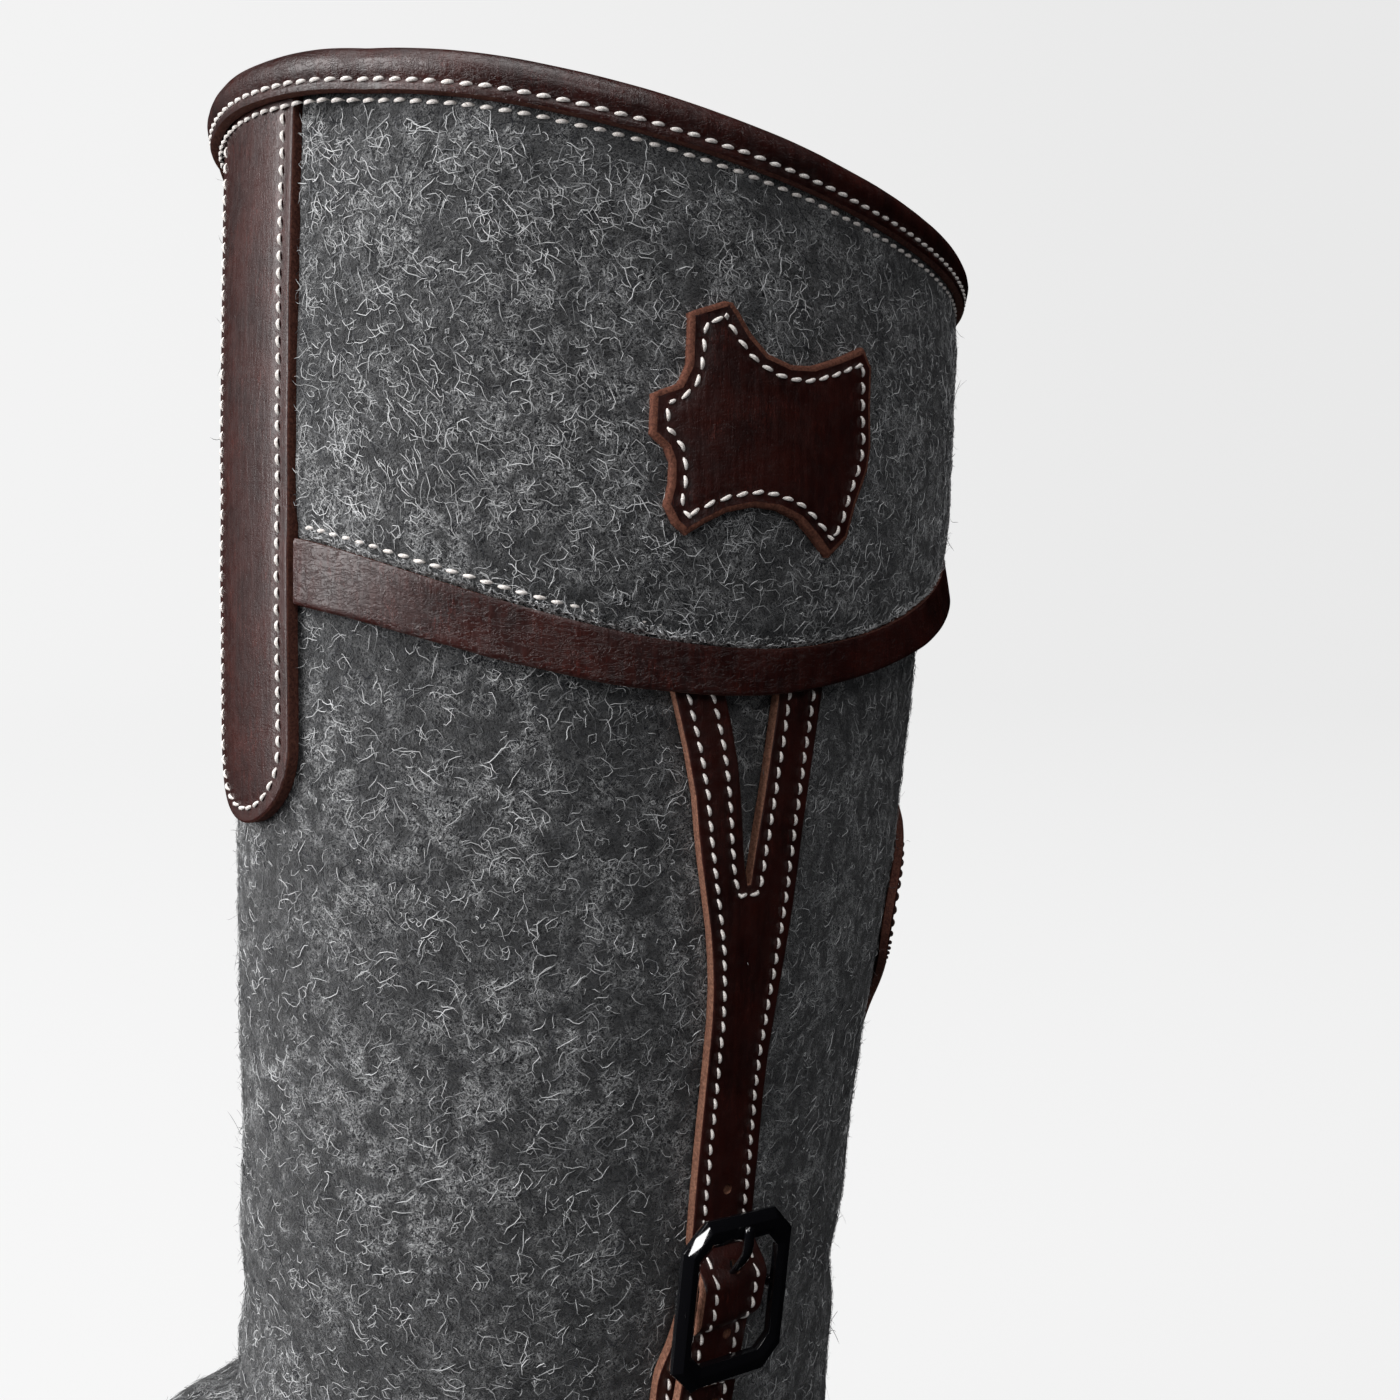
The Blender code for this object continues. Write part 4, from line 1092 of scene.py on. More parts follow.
def scattered(count, u_range, v_range, seed, clump=0.5):
    """Places spread over a range, thicker in some patches."""
    rng = np.random.default_rng(seed)
    tries = count * 2
    u, v = rng.uniform(*u_range, tries), rng.uniform(*v_range, tries)
    where = np.stack([u * 55.0, v * 20.0, np.zeros(tries)], -1)
    density = 0.5 + 0.5 * clump * (lumps(where, 9.0, seed) + lumps(where, 3.5, seed + 1))
    keep = rng.uniform(0, 1, tries) < density
    return u[keep][:count], v[keep][:count]


def make_fibres():
    """Fibres over the shaft, the foot and the cuff, and hairs that stand out from them."""
    full = (0.0, TURN)
    fibres("fibres_shaft", rough_skin, scattered(23000, full, (-8.0, 0.8), 101), 102)
    fibres("fibres_foot", rough_skin, scattered(11000, full, (0.8, 14.2), 111, 0.4), 112)
    start = beside_strip(1.0, 300.0)
    cuff_range = (start, TURN - start)
    fibres("fibres_cuff", cuff_surface, scattered(21000, cuff_range, (0.012, 0.90), 121), 122)
    fibres("fibres_cuff_edge", cuff_surface, scattered(6000, cuff_range, (-0.008, 0.013), 131, 0.1),
           132, length=(1.0, 2.6), width=0.08, stand=1.2, tones=(0.92, 0.08, 0.0))
    fibres("hairs_shaft", rough_skin, scattered(4200, full, (-7.6, 1.0), 141, 0.2), 142,
           length=(1.5, 4.5), width=0.04, stand=1.6, tones=(0.45, 0.35, 0.2))
    fibres("hairs_foot", rough_skin, scattered(2000, full, (1.0, 14.0), 151, 0.2), 152,
           length=(1.5, 4.0), width=0.04, stand=1.4, tones=(0.45, 0.35, 0.2))
    fibres("stray_hairs_shaft", rough_skin, scattered(260, full, (-7.0, 1.0), 171, 0.1), 172,
           length=(4.0, 9.0), width=0.04, stand=3.6, tones=(0.3, 0.4, 0.3), segments=8, curl=0.7)
    fibres("stray_hairs_cuff", cuff_surface, scattered(160, cuff_range, (0.0, 0.9), 181, 0.1), 182,
           length=(4.0, 9.0), width=0.04, stand=3.2, tones=(0.3, 0.4, 0.3), segments=8, curl=0.7)
    fibres("hairs_cuff", cuff_surface, scattered(3000, cuff_range, (0.0, 0.9), 161, 0.2), 162,
           length=(1.5, 4.0), width=0.04, stand=1.4, tones=(0.45, 0.35, 0.2))


# Leather pieces


def band_lifts(angle):
    """Lift of the band's back at its top and bottom edge; it stands off towards the heel."""
    away = from_front(angle)
    top = np.maximum(GAP, GAP + cuff_thickness(angle) - 1.5)
    bottom = GAP + 2.5 * smooth_step(25.0, 68.0, away) + 1.8 * smooth_step(100.0, 125.0, away)
    return top, bottom


def make_band():
    """Band under the cuff's edge, with cut edges and soft waves."""
    start = beside_strip(GAP + 0.2, 280.0)
    angles = np.linspace(start, TURN - start, 420)
    top, bottom = band_lifts(angles)
    high = bowed(CUFF_EDGE, angles) - GAP
    low = bowed(BAND_EDGE, angles)
    seat = skin(angles, row_at(low))
    low = low + 0.18 * lumps(seat, 9.0, 61)
    wave = 0.22 * lumps(seat, 14.0, 63)
    # Section: share of the height from the top edge, part of the thickness, material.
    section = [(0.0, 0.0, RAW), (0.0, 0.9, GRAIN), (0.05, 1.0, GRAIN)]
    section += [(t, 1.0, GRAIN) for t in np.linspace(0.12, 0.88, 9)]
    section += [(0.95, 1.0, GRAIN), (0.985, 0.9, RAW), (1.0, 0.55, RAW), (0.985, 0.05, FLESH),
                (0.5, 0.0, FLESH)]
    sections, slots = [], []
    for share, thick, slot in section:
        lift = top + (bottom - top) * share + BAND_THICKNESS * thick
        lift = lift + wave * math.sin(math.pi * share) * thick
        sections.append(skin(angles, row_at(high + (low - high) * share), lift))
        slots.append(slot)
    obj = swept("leather_band", np.stack(sections, 1), False,
                [BAND_LEATHER, BROWN_EDGE, FLESH_SIDE], slots, 50.0)
    return place(obj, "leather", "band")


BINDING_SEAM = 1.7


def binding_profile(angles):
    """Lifts and heights of the binding's section, from the outer leg's edge over to the inner."""
    out = under_binding(angles) + GAP
    inside = -WALL - GAP
    over = GAP - UPPER_BELOW_RIM
    full = BINDING_THICKNESS
    # Outer face and roll, from low to high and back down inside: lift, height under the rim.
    return [
        (out + 0.1, -BINDING_OUTER_LEG, RAW), (out + full * 0.55, -BINDING_OUTER_LEG - 0.05, RAW),
        (out + full * 0.95, -BINDING_OUTER_LEG + 0.15, GRAIN),
        (out + full + 0.12, -BINDING_OUTER_LEG + 0.7, GRAIN),
        (out + full + 0.02, -BINDING_OUTER_LEG + BINDING_SEAM - 0.5, GRAIN),
        (out + full - 0.22, -BINDING_OUTER_LEG + BINDING_SEAM, GRAIN),
        (out + full + 0.10, -BINDING_OUTER_LEG + BINDING_SEAM + 0.6, GRAIN),
        (out + full + 0.55, -4.4, GRAIN), (out + full + 0.70, -3.4, GRAIN),
        (out + full + 0.45, -2.3, GRAIN), (out + full - 0.35, -1.2, GRAIN),
        (out + full - 1.5, -0.45, GRAIN), (out - 1.4, -0.05, GRAIN),
        ((out + inside) / 2, 0.10, GRAIN), (inside + 1.4, -0.1, GRAIN),
        (inside - 0.2, -0.7, GRAIN), (inside - full + 0.3, -1.8, GRAIN),
        (inside - full - 0.1, -3.2, GRAIN), (inside - full, -4.8, GRAIN),
        (inside - full, -6.4, GRAIN), (inside - full + 0.25, -BINDING_INNER_LEG + 1.8, GRAIN),
        (inside - full, -BINDING_INNER_LEG + 1.1, GRAIN),
        (inside - full + 0.1, -BINDING_INNER_LEG + 0.2, RAW),
        (inside - 0.1, -BINDING_INNER_LEG, FLESH), (inside, over - 2.0, FLESH),
        (inside, over, FLESH), (out, over, FLESH), (out, over - 2.0, FLESH),
    ]


def make_binding():
    angles = np.linspace(0.0, TURN, 420, endpoint=False)
    rim = bowed(RIM, angles)
    seat = skin(angles, row_at(rim - 4.0))
    wave = 0.16 * lumps(seat, 12.0, 71) + 0.08 * lumps(seat, 5.0, 73)
    sections, slots = [], []
    for lift, height, slot in binding_profile(angles):
        soft = wave if slot == GRAIN else 0.0
        sections.append(skin(angles, row_at(rim + height), lift + soft))
        slots.append(slot)
    obj = swept("leather_binding", np.stack(sections, 1), True,
                [BINDING_LEATHER, BROWN_EDGE, FLESH_SIDE], slots, 50.0)
    return place(obj, "leather", "binding")


def flat_lift(value):
    return lambda a, h: np.full(np.shape(a), float(value))


STRIP_TOP = float(bowed(RIM, 0.0)) - UPPER_BELOW_RIM - GAP
STRIP_SEAM_INSET = 2.6
STRIP_SEAM_TOP = STRIP_TOP - 6.0


def strip_tip(radius, steps):
    """Half circle round the strip's lower end, from its left side to its right side."""
    centre = STRIP_TIP + STRIP_HALF_WIDTH
    turns = [math.pi + math.pi * k / steps for k in range(steps + 1)]
    return [(radius * math.cos(t), centre + radius * math.sin(t)) for t in turns]


def strip_outline():
    half = STRIP_HALF_WIDTH
    return [(half, STRIP_TOP), (-half, STRIP_TOP)] + strip_tip(half, 24)


def strip_seam():
    reach = STRIP_HALF_WIDTH - STRIP_SEAM_INSET
    return [(-reach, STRIP_SEAM_TOP)] + strip_tip(reach, 40) + [(reach, STRIP_SEAM_TOP)]


def strip_lift(a, h):
    """The strip's back, slightly uneven, and swollen between its seams."""
    a, h = np.asarray(a, float), np.asarray(h, float)
    swell = 0.22 * np.clip(1 - (np.abs(a) / (STRIP_HALF_WIDTH - 1.5)) ** 2, 0, 1)
    soft = 0.10 * lumps(np.stack([a, h, np.zeros_like(a)], -1), 11.0, 81)
    return GAP + 0.12 + swell + soft


def make_front_strip():
    obj = leather_piece("leather_strip", strip_outline(), strip_lift, STRIP_THICKNESS - 0.3,
                        [strip_seam()], [LEATHER, BROWN_EDGE, FLESH_SIDE], step=1.1, smooth=0)
    return place(obj, "leather", "front_strip")


def strap_lift(arc, height):
    """Lift of the side strap's back: flat, then over the buckle's middle bar."""
    over_bar = CENTRE_BAR_LIFT + CENTRE_BAR_RADIUS + 3 * GAP
    drop = np.abs(height - BUCKLE_HEIGHT)
    crest = GAP + (over_bar - GAP) * (1 - smooth_step(2.6, 9.8, drop))
    below = (LOWER_STRAP_LIFT + STRAP_THICKNESS + 2 * GAP) * smooth_step(-1.0, 6.0,
                                                                        BUCKLE_HEIGHT - height)
    return np.maximum(np.maximum(crest, below), GAP)


def y_outline():
    """Edges of the forked strap as way round from the front line and height."""
    top = float(bowed(CUFF_EDGE, math.radians(85.0))) - GAP - 0.2
    front_edge = [(78.6, top), (84.1, 251.0), (85.3, 239.0), (86.6, 231.0), (88.0, 222.0),
                  (88.6, 211.0), (87.5, 197.0), (86.0, 180.0), (85.2, 168.0), (84.4, 158.0),
                  (81.6, 143.0), (79.2, 130.0), (80.0, 123.5)]
    back_edge = [(84.0, 121.0), (88.6, 124.0), (91.2, 131.0), (93.6, 143.0), (97.0, 158.0),
                 (98.8, 168.0), (99.8, 180.0), (100.8, 196.0), (102.9, 209.0), (104.7, 219.0),
                 (106.2, 228.0), (107.9, 243.0), (112.6, top)]
    fork = [(101.8, top), (98.6, 250.0), (96.2, 236.0), (95.4, 230.0), (94.2, 236.0),
            (93.5, 246.0), (92.2, 256.0), (87.8, top)]
    return front_edge, back_edge, fork


STRAP_SEAM_INSET = 2.35


def y_seams():
    front_edge, back_edge, fork = y_outline()
    whole = rounded(front_edge + back_edge + fork, 1)
    path = inset(resample(whole, 0.6), STRAP_SEAM_INSET)
    top = front_edge[0][1] - 4.0
    runs, run = [], []
    start = int(np.argmax(path[:, 1]))
    for p in np.roll(path, -start, axis=0):
        if p[1] < top:
            run.append(p)
        elif run:
            runs.append(run)
            run = []
    if run:
        runs.append(run)
    return [np.array(r) for r in runs if len(r) > 8]


# Holes punched in the side strap: way round and height.
STRAP_HOLES = ((92.6, 176.0), (90.8, 150.4), (88.2, 138.0))
HOLE_RADIUS = 0.95
# The hole that the prong passes through.
PRONG_HOLE = (91.6, 163.2)


def punch(obj, spots, radius, mats):
    """Cut round holes through a strap at flat places; the cut walls are raw leather."""
    bm = bmesh.new()
    for arc, height in spots:
        middle = wrap(arc, height, 4.0)
        out = wrap(arc, height, 5.0) - middle
        side = np.cross(out, np.array([0.0, 0.0, 1.0]))
        side /= np.linalg.norm(side)
        up = np.cross(side, out)
        rings = []
        for depth in (-6.0, 8.0):
            ring = []
            for k in range(20):
                turn = TURN * k / 20
                at = middle + out * depth + radius * (side * math.cos(turn) + up * math.sin(turn))
                ring.append(bm.verts.new(tuple((at + np.array([0.0, Y_SHIFT, 0.0])) * MM)))
            rings.append(ring)
        for k in range(20):
            n = (k + 1) % 20
            bm.faces.new((rings[0][k], rings[0][n], rings[1][n], rings[1][k]))
        bm.faces.new(rings[0][::-1])
        bm.faces.new(rings[1])
    bmesh.ops.recalc_face_normals(bm, faces=bm.faces[:])
    mesh = bpy.data.meshes.new("punch")
    bm.to_mesh(mesh)
    bm.free()
    for mat in mats:
        mesh.materials.append(mat)
    for polygon in mesh.polygons:
        polygon.material_index = RAW
    cutter = linked("punch", mesh)
    apply_boolean(obj, cutter, "DIFFERENCE")
    bpy.data.objects.remove(cutter, do_unlink=True)


def apply_boolean(obj, other, kind):
    cut = obj.modifiers.new("cut", "BOOLEAN")
    cut.operation = kind
    cut.object = other
    cut.material_mode = "INDEX"
    apply_modifiers(obj)


def apply_modifiers(obj):
    graph = bpy.context.evaluated_depsgraph_get()
    made = bpy.data.meshes.new_from_object(obj.evaluated_get(graph), depsgraph=graph)
    obj.modifiers.clear()
    old = obj.data
    obj.data = made
    bpy.data.meshes.remove(old)


def make_y_strap():
    front_edge, back_edge, fork = y_outline()
    mats = [LEATHER, TAN_EDGE, FLESH_SIDE]
    obj = leather_piece("leather_y_strap", front_edge + back_edge + fork, strap_lift,
                        STRAP_THICKNESS, y_seams(), mats, step=0.9, smooth=1)
    punch(obj, STRAP_HOLES + (PRONG_HOLE,), HOLE_RADIUS, mats)
    return place(obj, "leather", "y_strap")


class CourseDown:
    """Flat places for a strip that runs down the boot: across its middle, and way down it."""

    def __init__(self, middle, first, last):
        self.middle = middle
        self.rows = np.linspace(first, last, 300)
        arcs = cubic(middle, 1, self.rows)
        points = skin(ARCS.angle(arcs, self.rows), self.rows, 0.0)
        steps = np.linalg.norm(np.diff(points, axis=0), axis=1)
        self.lengths = np.concatenate([[0.0], np.cumsum(steps)])
        self.whole = float(self.lengths[-1])

    def onto(self, across, up, lift):
        row = np.interp(-np.asarray(up, float), self.lengths, self.rows)
        arc = cubic(self.middle, 1, row) + across
        return skin(ARCS.angle(arc, row), row, lift)

    def down(self, row):
        return float(np.interp(row, self.rows, self.lengths))


def lower_course():
    first = float(row_at(BUCKLE_HEIGHT - CENTRE_BAR_RADIUS - 2 * GAP))
    middle = ((first, 90.2), (float(row_at(150.0)), 88.0), (float(row_at(145.0)), 85.6),
              (float(row_at(139.0)), 84.6), (0.0, 82.6), (1.0, 80.4), (2.0, 82.0), (3.0, 86.0),
              (4.0, 92.0), (5.0, 100.0), (6.0, 108.5), (7.0, 118.0), (7.3, 121.0))
    return CourseDown(middle, first, 7.3)


def make_lower_strap(threads):
    course = lower_course()
    half, whole = LOWER_STRAP_HALF_WIDTH, course.whole
    outline = [(-half, 0.0), (-half, -whole), (half, -whole), (half, 0.0)]
    reach = half - STRAP_SEAM_INSET
    seams = [np.array([(s * reach, -2.0), (s * reach, -whole + 1.0)]) for s in (-1, 1)]
    lift = flat_lift(LOWER_STRAP_LIFT)
    obj = leather_piece("leather_lower_strap", outline, lift, STRAP_THICKNESS, seams,
                        [LEATHER, TAN_EDGE, FLESH_SIDE], step=1.1, smooth=0, onto=course.onto)
    place(obj, "leather", "lower_strap")
    face = flat_lift(LOWER_STRAP_LIFT + STRAP_THICKNESS)
    for seam in seams:
        threads.sew(seam, course.onto, face)


# The back stay's top and bottom rows, and how many rows its round top takes.
STAY_TOP_ROW = -5.4
STAY_LOW_ROW = 3.9
STAY_ROUND_ROWS = 1.6
# Half width of the back stay: row, half width below its round top.
STAY_WIDTHS = ((STAY_TOP_ROW, 49.5), (-4.2, 49.5), (-3.8, 45.0), (-3.4, 34.5), (-3.0, 25.5),
               (-2.6, 20.5), (-2.0, 17.0), (-0.8, 14.5), (0.8, 14.0), (2.0, 14.5), (3.0, 16.0),
               (STAY_LOW_ROW, 18.0))


def back_course():
    rows = np.linspace(STAY_TOP_ROW, STAY_LOW_ROW, 60)
    middle = tuple((float(r), float(ARCS.ring_length(r)) / 2) for r in rows)
    return CourseDown(middle, STAY_TOP_ROW, STAY_LOW_ROW)


def stay_outline(course):
    rows = [STAY_TOP_ROW + STAY_ROUND_ROWS * (1 - math.cos(math.pi / 2 * k / 12)) for k in range(13)]
    rows += list(np.linspace(-3.7, STAY_LOW_ROW, 60))
    side = []
    for row in rows:
        down = min(1.0, (row - rows[0]) / STAY_ROUND_ROWS)
        half = float(cubic(STAY_WIDTHS, 1, row)) * math.sqrt(max(0.0, 1 - (1 - down) ** 2))
        side.append((half, -course.down(row)))
    return [(-a, h) for a, h in side[1:]] + side[::-1]


def make_back_stay(threads):
    course = back_course()
    outline = stay_outline(course)
    path = inset(resample(outline, 1.0), 3.0)
    low = -course.whole + 4.0
    order = np.roll(path, -int(np.argmin(path[:, 1])), axis=0)
    seam = order[order[:, 1] > low]
    lift = flat_lift(STAY_LIFT)
    obj = leather_piece("leather_back_stay", outline, lift, STAY_THICKNESS, [seam],
                        [LEATHER, BROWN_EDGE, FLESH_SIDE], step=2.0, smooth=0, onto=course.onto)
    place(obj, "leather", "back_stay")
    gaps = np.linalg.norm(np.diff(seam, axis=0), axis=1)
    split = int(np.argmax(gaps)) + 1 if gaps.max() > 6.0 else len(seam)
    face = flat_lift(STAY_LIFT + STAY_THICKNESS)
    for part in (seam[:split], seam[split:]):
        if len(part) > 4:
            threads.sew(part, course.onto, face)


PATCH_SEAM_INSET = 2.5


def patch_outline():
    return [(PATCH_CENTRE[0] + a, PATCH_CENTRE[1] + h) for a, h in PATCH_OUTLINE]


def patch_seam():
    path = resample(rounded(patch_outline(), 1), 0.8)
    return inset(path, PATCH_SEAM_INSET)


def make_patch():
    seam = patch_seam()
    closed = np.concatenate([seam, seam[:1]])
    obj = leather_piece("leather_patch", patch_outline(), flat_lift(PATCH_LIFT), PATCH_THICKNESS,
                        [closed], [LEATHER, PATCH_EDGE, FLESH_SIDE], step=0.9, edge=0.95,
                        smooth=0, raw_from=0)
    return place(obj, "leather", "patch")


# Buckle


def buckle_place(across, up, lift):
    """Point of the buckle, in the plane that lies flat on the upper at its middle."""
    middle_row = row_at(BUCKLE_HEIGHT)
    angle = ARCS.angle(BUCKLE_ARC, middle_row)
    origin = skin(angle, middle_row)
    normal = skin(angle, middle_row, 1.0) - origin
    upward = skin(angle, middle_row - 0.2) - origin
    upward = upward - normal * np.dot(upward, normal)
    upward /= np.linalg.norm(upward)
    side = np.cross(upward, normal)
    return origin + side * across + upward * up + normal * lift


def octagon(half_width, half_height, corner):
    """Eight points of a rectangle with cut corners, anticlockwise from the right side."""
    w, h, c = half_width, half_height, corner
    return ((w, h - c), (w - c, h), (-w + c, h), (-w, h - c),
            (-w, -h + c), (-w + c, -h), (w - c, -h), (w, -h + c))


def make_buckle():
    """Frame with broad cut facets round its face, and the bar across its middle."""
    low, high = FRAME_LIFT, FRAME_LIFT + FRAME_THICKNESS
    w, h, c = FRAME_HALF_WIDTH, FRAME_HALF_HEIGHT, FRAME_CORNER
    iw, ih = w - FRAME_SIDE_BAR, h - FRAME_END_BAR
    # Loops of the section: half width, half height, corner, lift.
    loops = ((w - 0.3, h - 0.3, c, low), (w, h, c, low + 0.7), (w, h, c, low + 1.25),
             (w - 1.35, h - 1.5, c * 0.80, high), (iw + 0.95, ih + 1.35, c * 0.62, high),
             (iw, ih, c * 0.55, high - 0.75), (iw, ih, c * 0.55, low + 0.5),
             (iw + 0.3, ih + 0.3, c * 0.55, low))
    rings = [[buckle_place(x, y, lift) for x, y in octagon(lw, lh, lc)]
             for lw, lh, lc, lift in loops]
    points = np.array(rings).reshape(-1, 3)
    faces = ring_faces(len(loops), 8, True)
    obj = face_outwards(make_mesh("buckle_body", points, faces, [ENAMEL], None, 20.0))
    reach = w - 0.9
    line = ((-reach, low + 1.2), (-reach + 1.6, CENTRE_BAR_LIFT), (reach - 1.6, CENTRE_BAR_LIFT),
            (reach, low + 1.2))
    sections = []
    for across, lift in line:
        turns = [TURN * k / 20 for k in range(20)]
        sections.append([buckle_place(across, CENTRE_BAR_RADIUS * math.cos(t),
                                      lift + CENTRE_BAR_RADIUS * math.sin(t)) for t in turns])
    bar = swept("bar", sections, False, [ENAMEL])
    apply_boolean(obj, bar, "UNION")
    bpy.data.objects.remove(bar, do_unlink=True)
    bevel = obj.modifiers.new("soft edges", "BEVEL")
    bevel.width = 0.32 * MM
    bevel.segments = 3
    bevel.limit_method = "ANGLE"
    bevel.angle_limit = math.radians(18.0)
    apply_modifiers(obj)
    obj.data.shade_smooth()
    obj.data.set_sharp_from_angle(angle=math.radians(30.0))
    return place(obj, "metal", "buckle_frame")


def make_prong():
    """Prong from the middle bar through the strap, lying on the frame, with a blunt round tip."""
    top = FRAME_LIFT + FRAME_THICKNESS + GAP + PRONG_RADIUS * 0.75
    route = ((CENTRE_BAR_RADIUS + GAP + PRONG_RADIUS, CENTRE_BAR_LIFT), (4.6, 6.6), (7.6, 8.8),
             (FRAME_HALF_HEIGHT - FRAME_END_BAR - 0.9, top), (FRAME_HALF_HEIGHT - 2.6, top),
             (FRAME_HALF_HEIGHT - 1.2, top - 0.1))
    ups, lifts = [p[0] for p in route], [p[1] for p in route]
    table = [(i, u, l) for i, (u, l) in enumerate(zip(ups, lifts))]
    sections = []
    for t in np.linspace(0, len(route) - 1, 26):
        up, lift = float(cubic(table, 1, t)), float(cubic(table, 2, t))
        end = min(1.0, (len(route) - 1 - t) / 0.8)
        radius = PRONG_RADIUS * (0.25 + 0.75 * math.sqrt(max(0.0, 1 - (1 - end) ** 2)))
        ring = []
        for k in range(16):
            turn = TURN * k / 16
            ring.append(buckle_place(radius * math.cos(turn), up,
                                     lift + radius * 0.8 * math.sin(turn)))
        sections.append(ring)
    obj = swept("buckle_tongue", sections, False, [ENAMEL], None, 50.0)
    return place(obj, "metal", "buckle_prong")


# Sole


def foot_outline(stations, grow):
    """Half widths of the foot seen from above, grown by the rim, at each y of stations."""
    rows, angles = np.meshgrid(np.linspace(1.0, LAST_ROW, 420), np.linspace(0, TURN, 361))
    cloud = skin(angles, rows, grow).reshape(-1, 3)
    cloud = cloud[cloud[:, 2] < 46.0]
    outer, inner = [], []
    for y in stations:
        near = cloud[np.abs(cloud[:, 1] - y) < 0.7]
        outer.append(near[:, 0].max())
        inner.append(near[:, 0].min())
    return np.array(outer), np.array(inner), cloud[:, 1].min(), cloud[:, 1].max()


def sole_bottom(y):
    """Height of the tread's plane: flat heel and ball, raised arch, sprung toe."""
    arch = ARCH_RISE * smooth_step(HEEL_BREAST - 1.0, HEEL_BREAST - 3.0, y)
    arch = arch * (1 - smooth_step(-35.0, -92.0, y))
    spring = TOE_SPRING * np.clip((TOE_SPRING_START - y) / 52.0, 0.0, 1.0) ** 1.6
    return arch + spring


def sole_top(y):
    """Height of the rim that holds the felt."""
    table = ((-212.0, 34.0), (-190.0, 29.5), (-150.0, 23.5), (-120.0, 22.5), (-60.0, 27.0),
             (0.0, 30.0), (40.0, 31.0), (75.0, 33.0))
    return cubic(table, 1, y)


def sole_marks(low, high):
    """Places along the sole, close at the round ends and doubled at each groove."""
    middle, half = (low + high) / 2, (high - low) / 2
    ends = [middle + half * math.cos(math.pi * k / 64) for k in range(1, 64)]
    ends += [middle + half * math.cos(math.pi * k / 64) for k in (0.3, 0.6, 63.4, 63.7)]
    grooves = list(np.arange(-178.0, -84.0, LUG_PITCH))
    grooves += list(np.arange(HEEL_BREAST + 11.0, high - 8.0, LUG_PITCH))
    marks = []
    for y in grooves:
        marks += [(y - GROOVE / 2 - 0.5, 0.0), (y - GROOVE / 2 - 0.15, 0.35),
                  (y - GROOVE / 2, LUG_DEPTH), (y + GROOVE / 2, LUG_DEPTH),
                  (y + GROOVE / 2 + 0.15, 0.35), (y + GROOVE / 2 + 0.5, 0.0)]
    taken = [y for y, _ in marks]
    for y in ends + [HEEL_BREAST, HEEL_BREAST - 3.5]:
        clear = all(abs(y - t) > 0.35 for t in taken)
        if clear and not any(abs(y - g) < GROOVE / 2 + 0.8 for g in grooves):
            marks.append((y, 0.0))
            taken.append(y)
    return sorted(marks)


# Levels of the sole's side: part of the height from tread to rim, step out from the outline.
SOLE_LEVELS = ((0.0, -1.6), (0.012, -1.1), (0.05, -0.4), (0.12, 0.35), (0.18, 0.6), (0.32, 0.6),
               (0.345, 0.35), (0.36, -0.6), (0.385, -0.9), (0.45, -0.9), (0.475, -0.6),
               (0.49, 0.2), (0.51, 0.4), (0.60, 0.4), (0.63, 0.2), (0.66, -0.2), (0.80, -0.35),
               (0.94, -0.6), (0.985, -0.9), (1.0, -1.4))


def make_outsole():
    """Rubber sole: stepped and ribbed side, lugs, heel, arch and a rim cut by the felt."""
    probe = foot_outline([0.0], SOLE_RIM)
    low, high = probe[2] + 0.2, probe[3] - 0.2
    marks = sole_marks(low, high)
    ys = np.array([low] + [y for y, _ in marks] + [high])
    depth = np.array([0.0] + [d for _, d in marks] + [0.0])
    clear = np.clip(ys, low + 0.8, high - 0.8)
    outer, inner, _, _ = foot_outline(clear, SOLE_RIM)
    middle = (outer + inner) / 2
    near_end = np.minimum(ys - low, high - ys)
    squeeze = np.where(near_end < 0.8, 0.4 + 0.6 * np.sqrt(near_end / 0.8), 1.0)
    outer = middle + (outer - middle) * squeeze
    inner = middle + (inner - middle) * squeeze
    bottom, top = sole_bottom(ys), sole_top(ys)
    count = len(ys)
    order = list(range(count)) + list(reversed(range(count)))
    side = np.array([1] * count + [-1] * count)
    outline = np.array([((outer if s > 0 else inner)[i], ys[i]) for i, s in zip(order, side)])
    out = -inward(outline)
    ridge = 0.35 * np.cos(outline[:, 1] * TURN / 5.0)
    rings = []
    for part, step in SOLE_LEVELS:
        cut = depth[order] * np.clip(1 - part / 0.22, 0, 1)
        z = bottom[order] + (top - bottom)[order] * part + cut
        ribbed = step + (ridge if 0.45 < part < 0.62 else 0.0)
        rings.append(np.stack([outline[:, 0] + out[:, 0] * ribbed,
                               outline[:, 1] + out[:, 1] * ribbed * 0.5, z], -1))
    points = np.concatenate(rings)
    total = 2 * count
    faces = ring_faces(len(rings), total).tolist()
    for level in (0, len(rings) - 1):
        base = level * total
        for i in range(count - 1):
            a, b = base + i, base + total - 1 - i
            faces.append([a, a + 1, b - 1, b])
    sole = face_outwards(make_mesh("rubber_sole", points, faces, [RUBBER], None, 30.0))
    form = foot_form(GAP + 0.1)
    apply_boolean(sole, form, "DIFFERENCE")
    bpy.data.objects.remove(form, do_unlink=True)
    sole.data.set_sharp_from_angle(angle=math.radians(30.0))
    return place(sole, "rubber", "outsole")


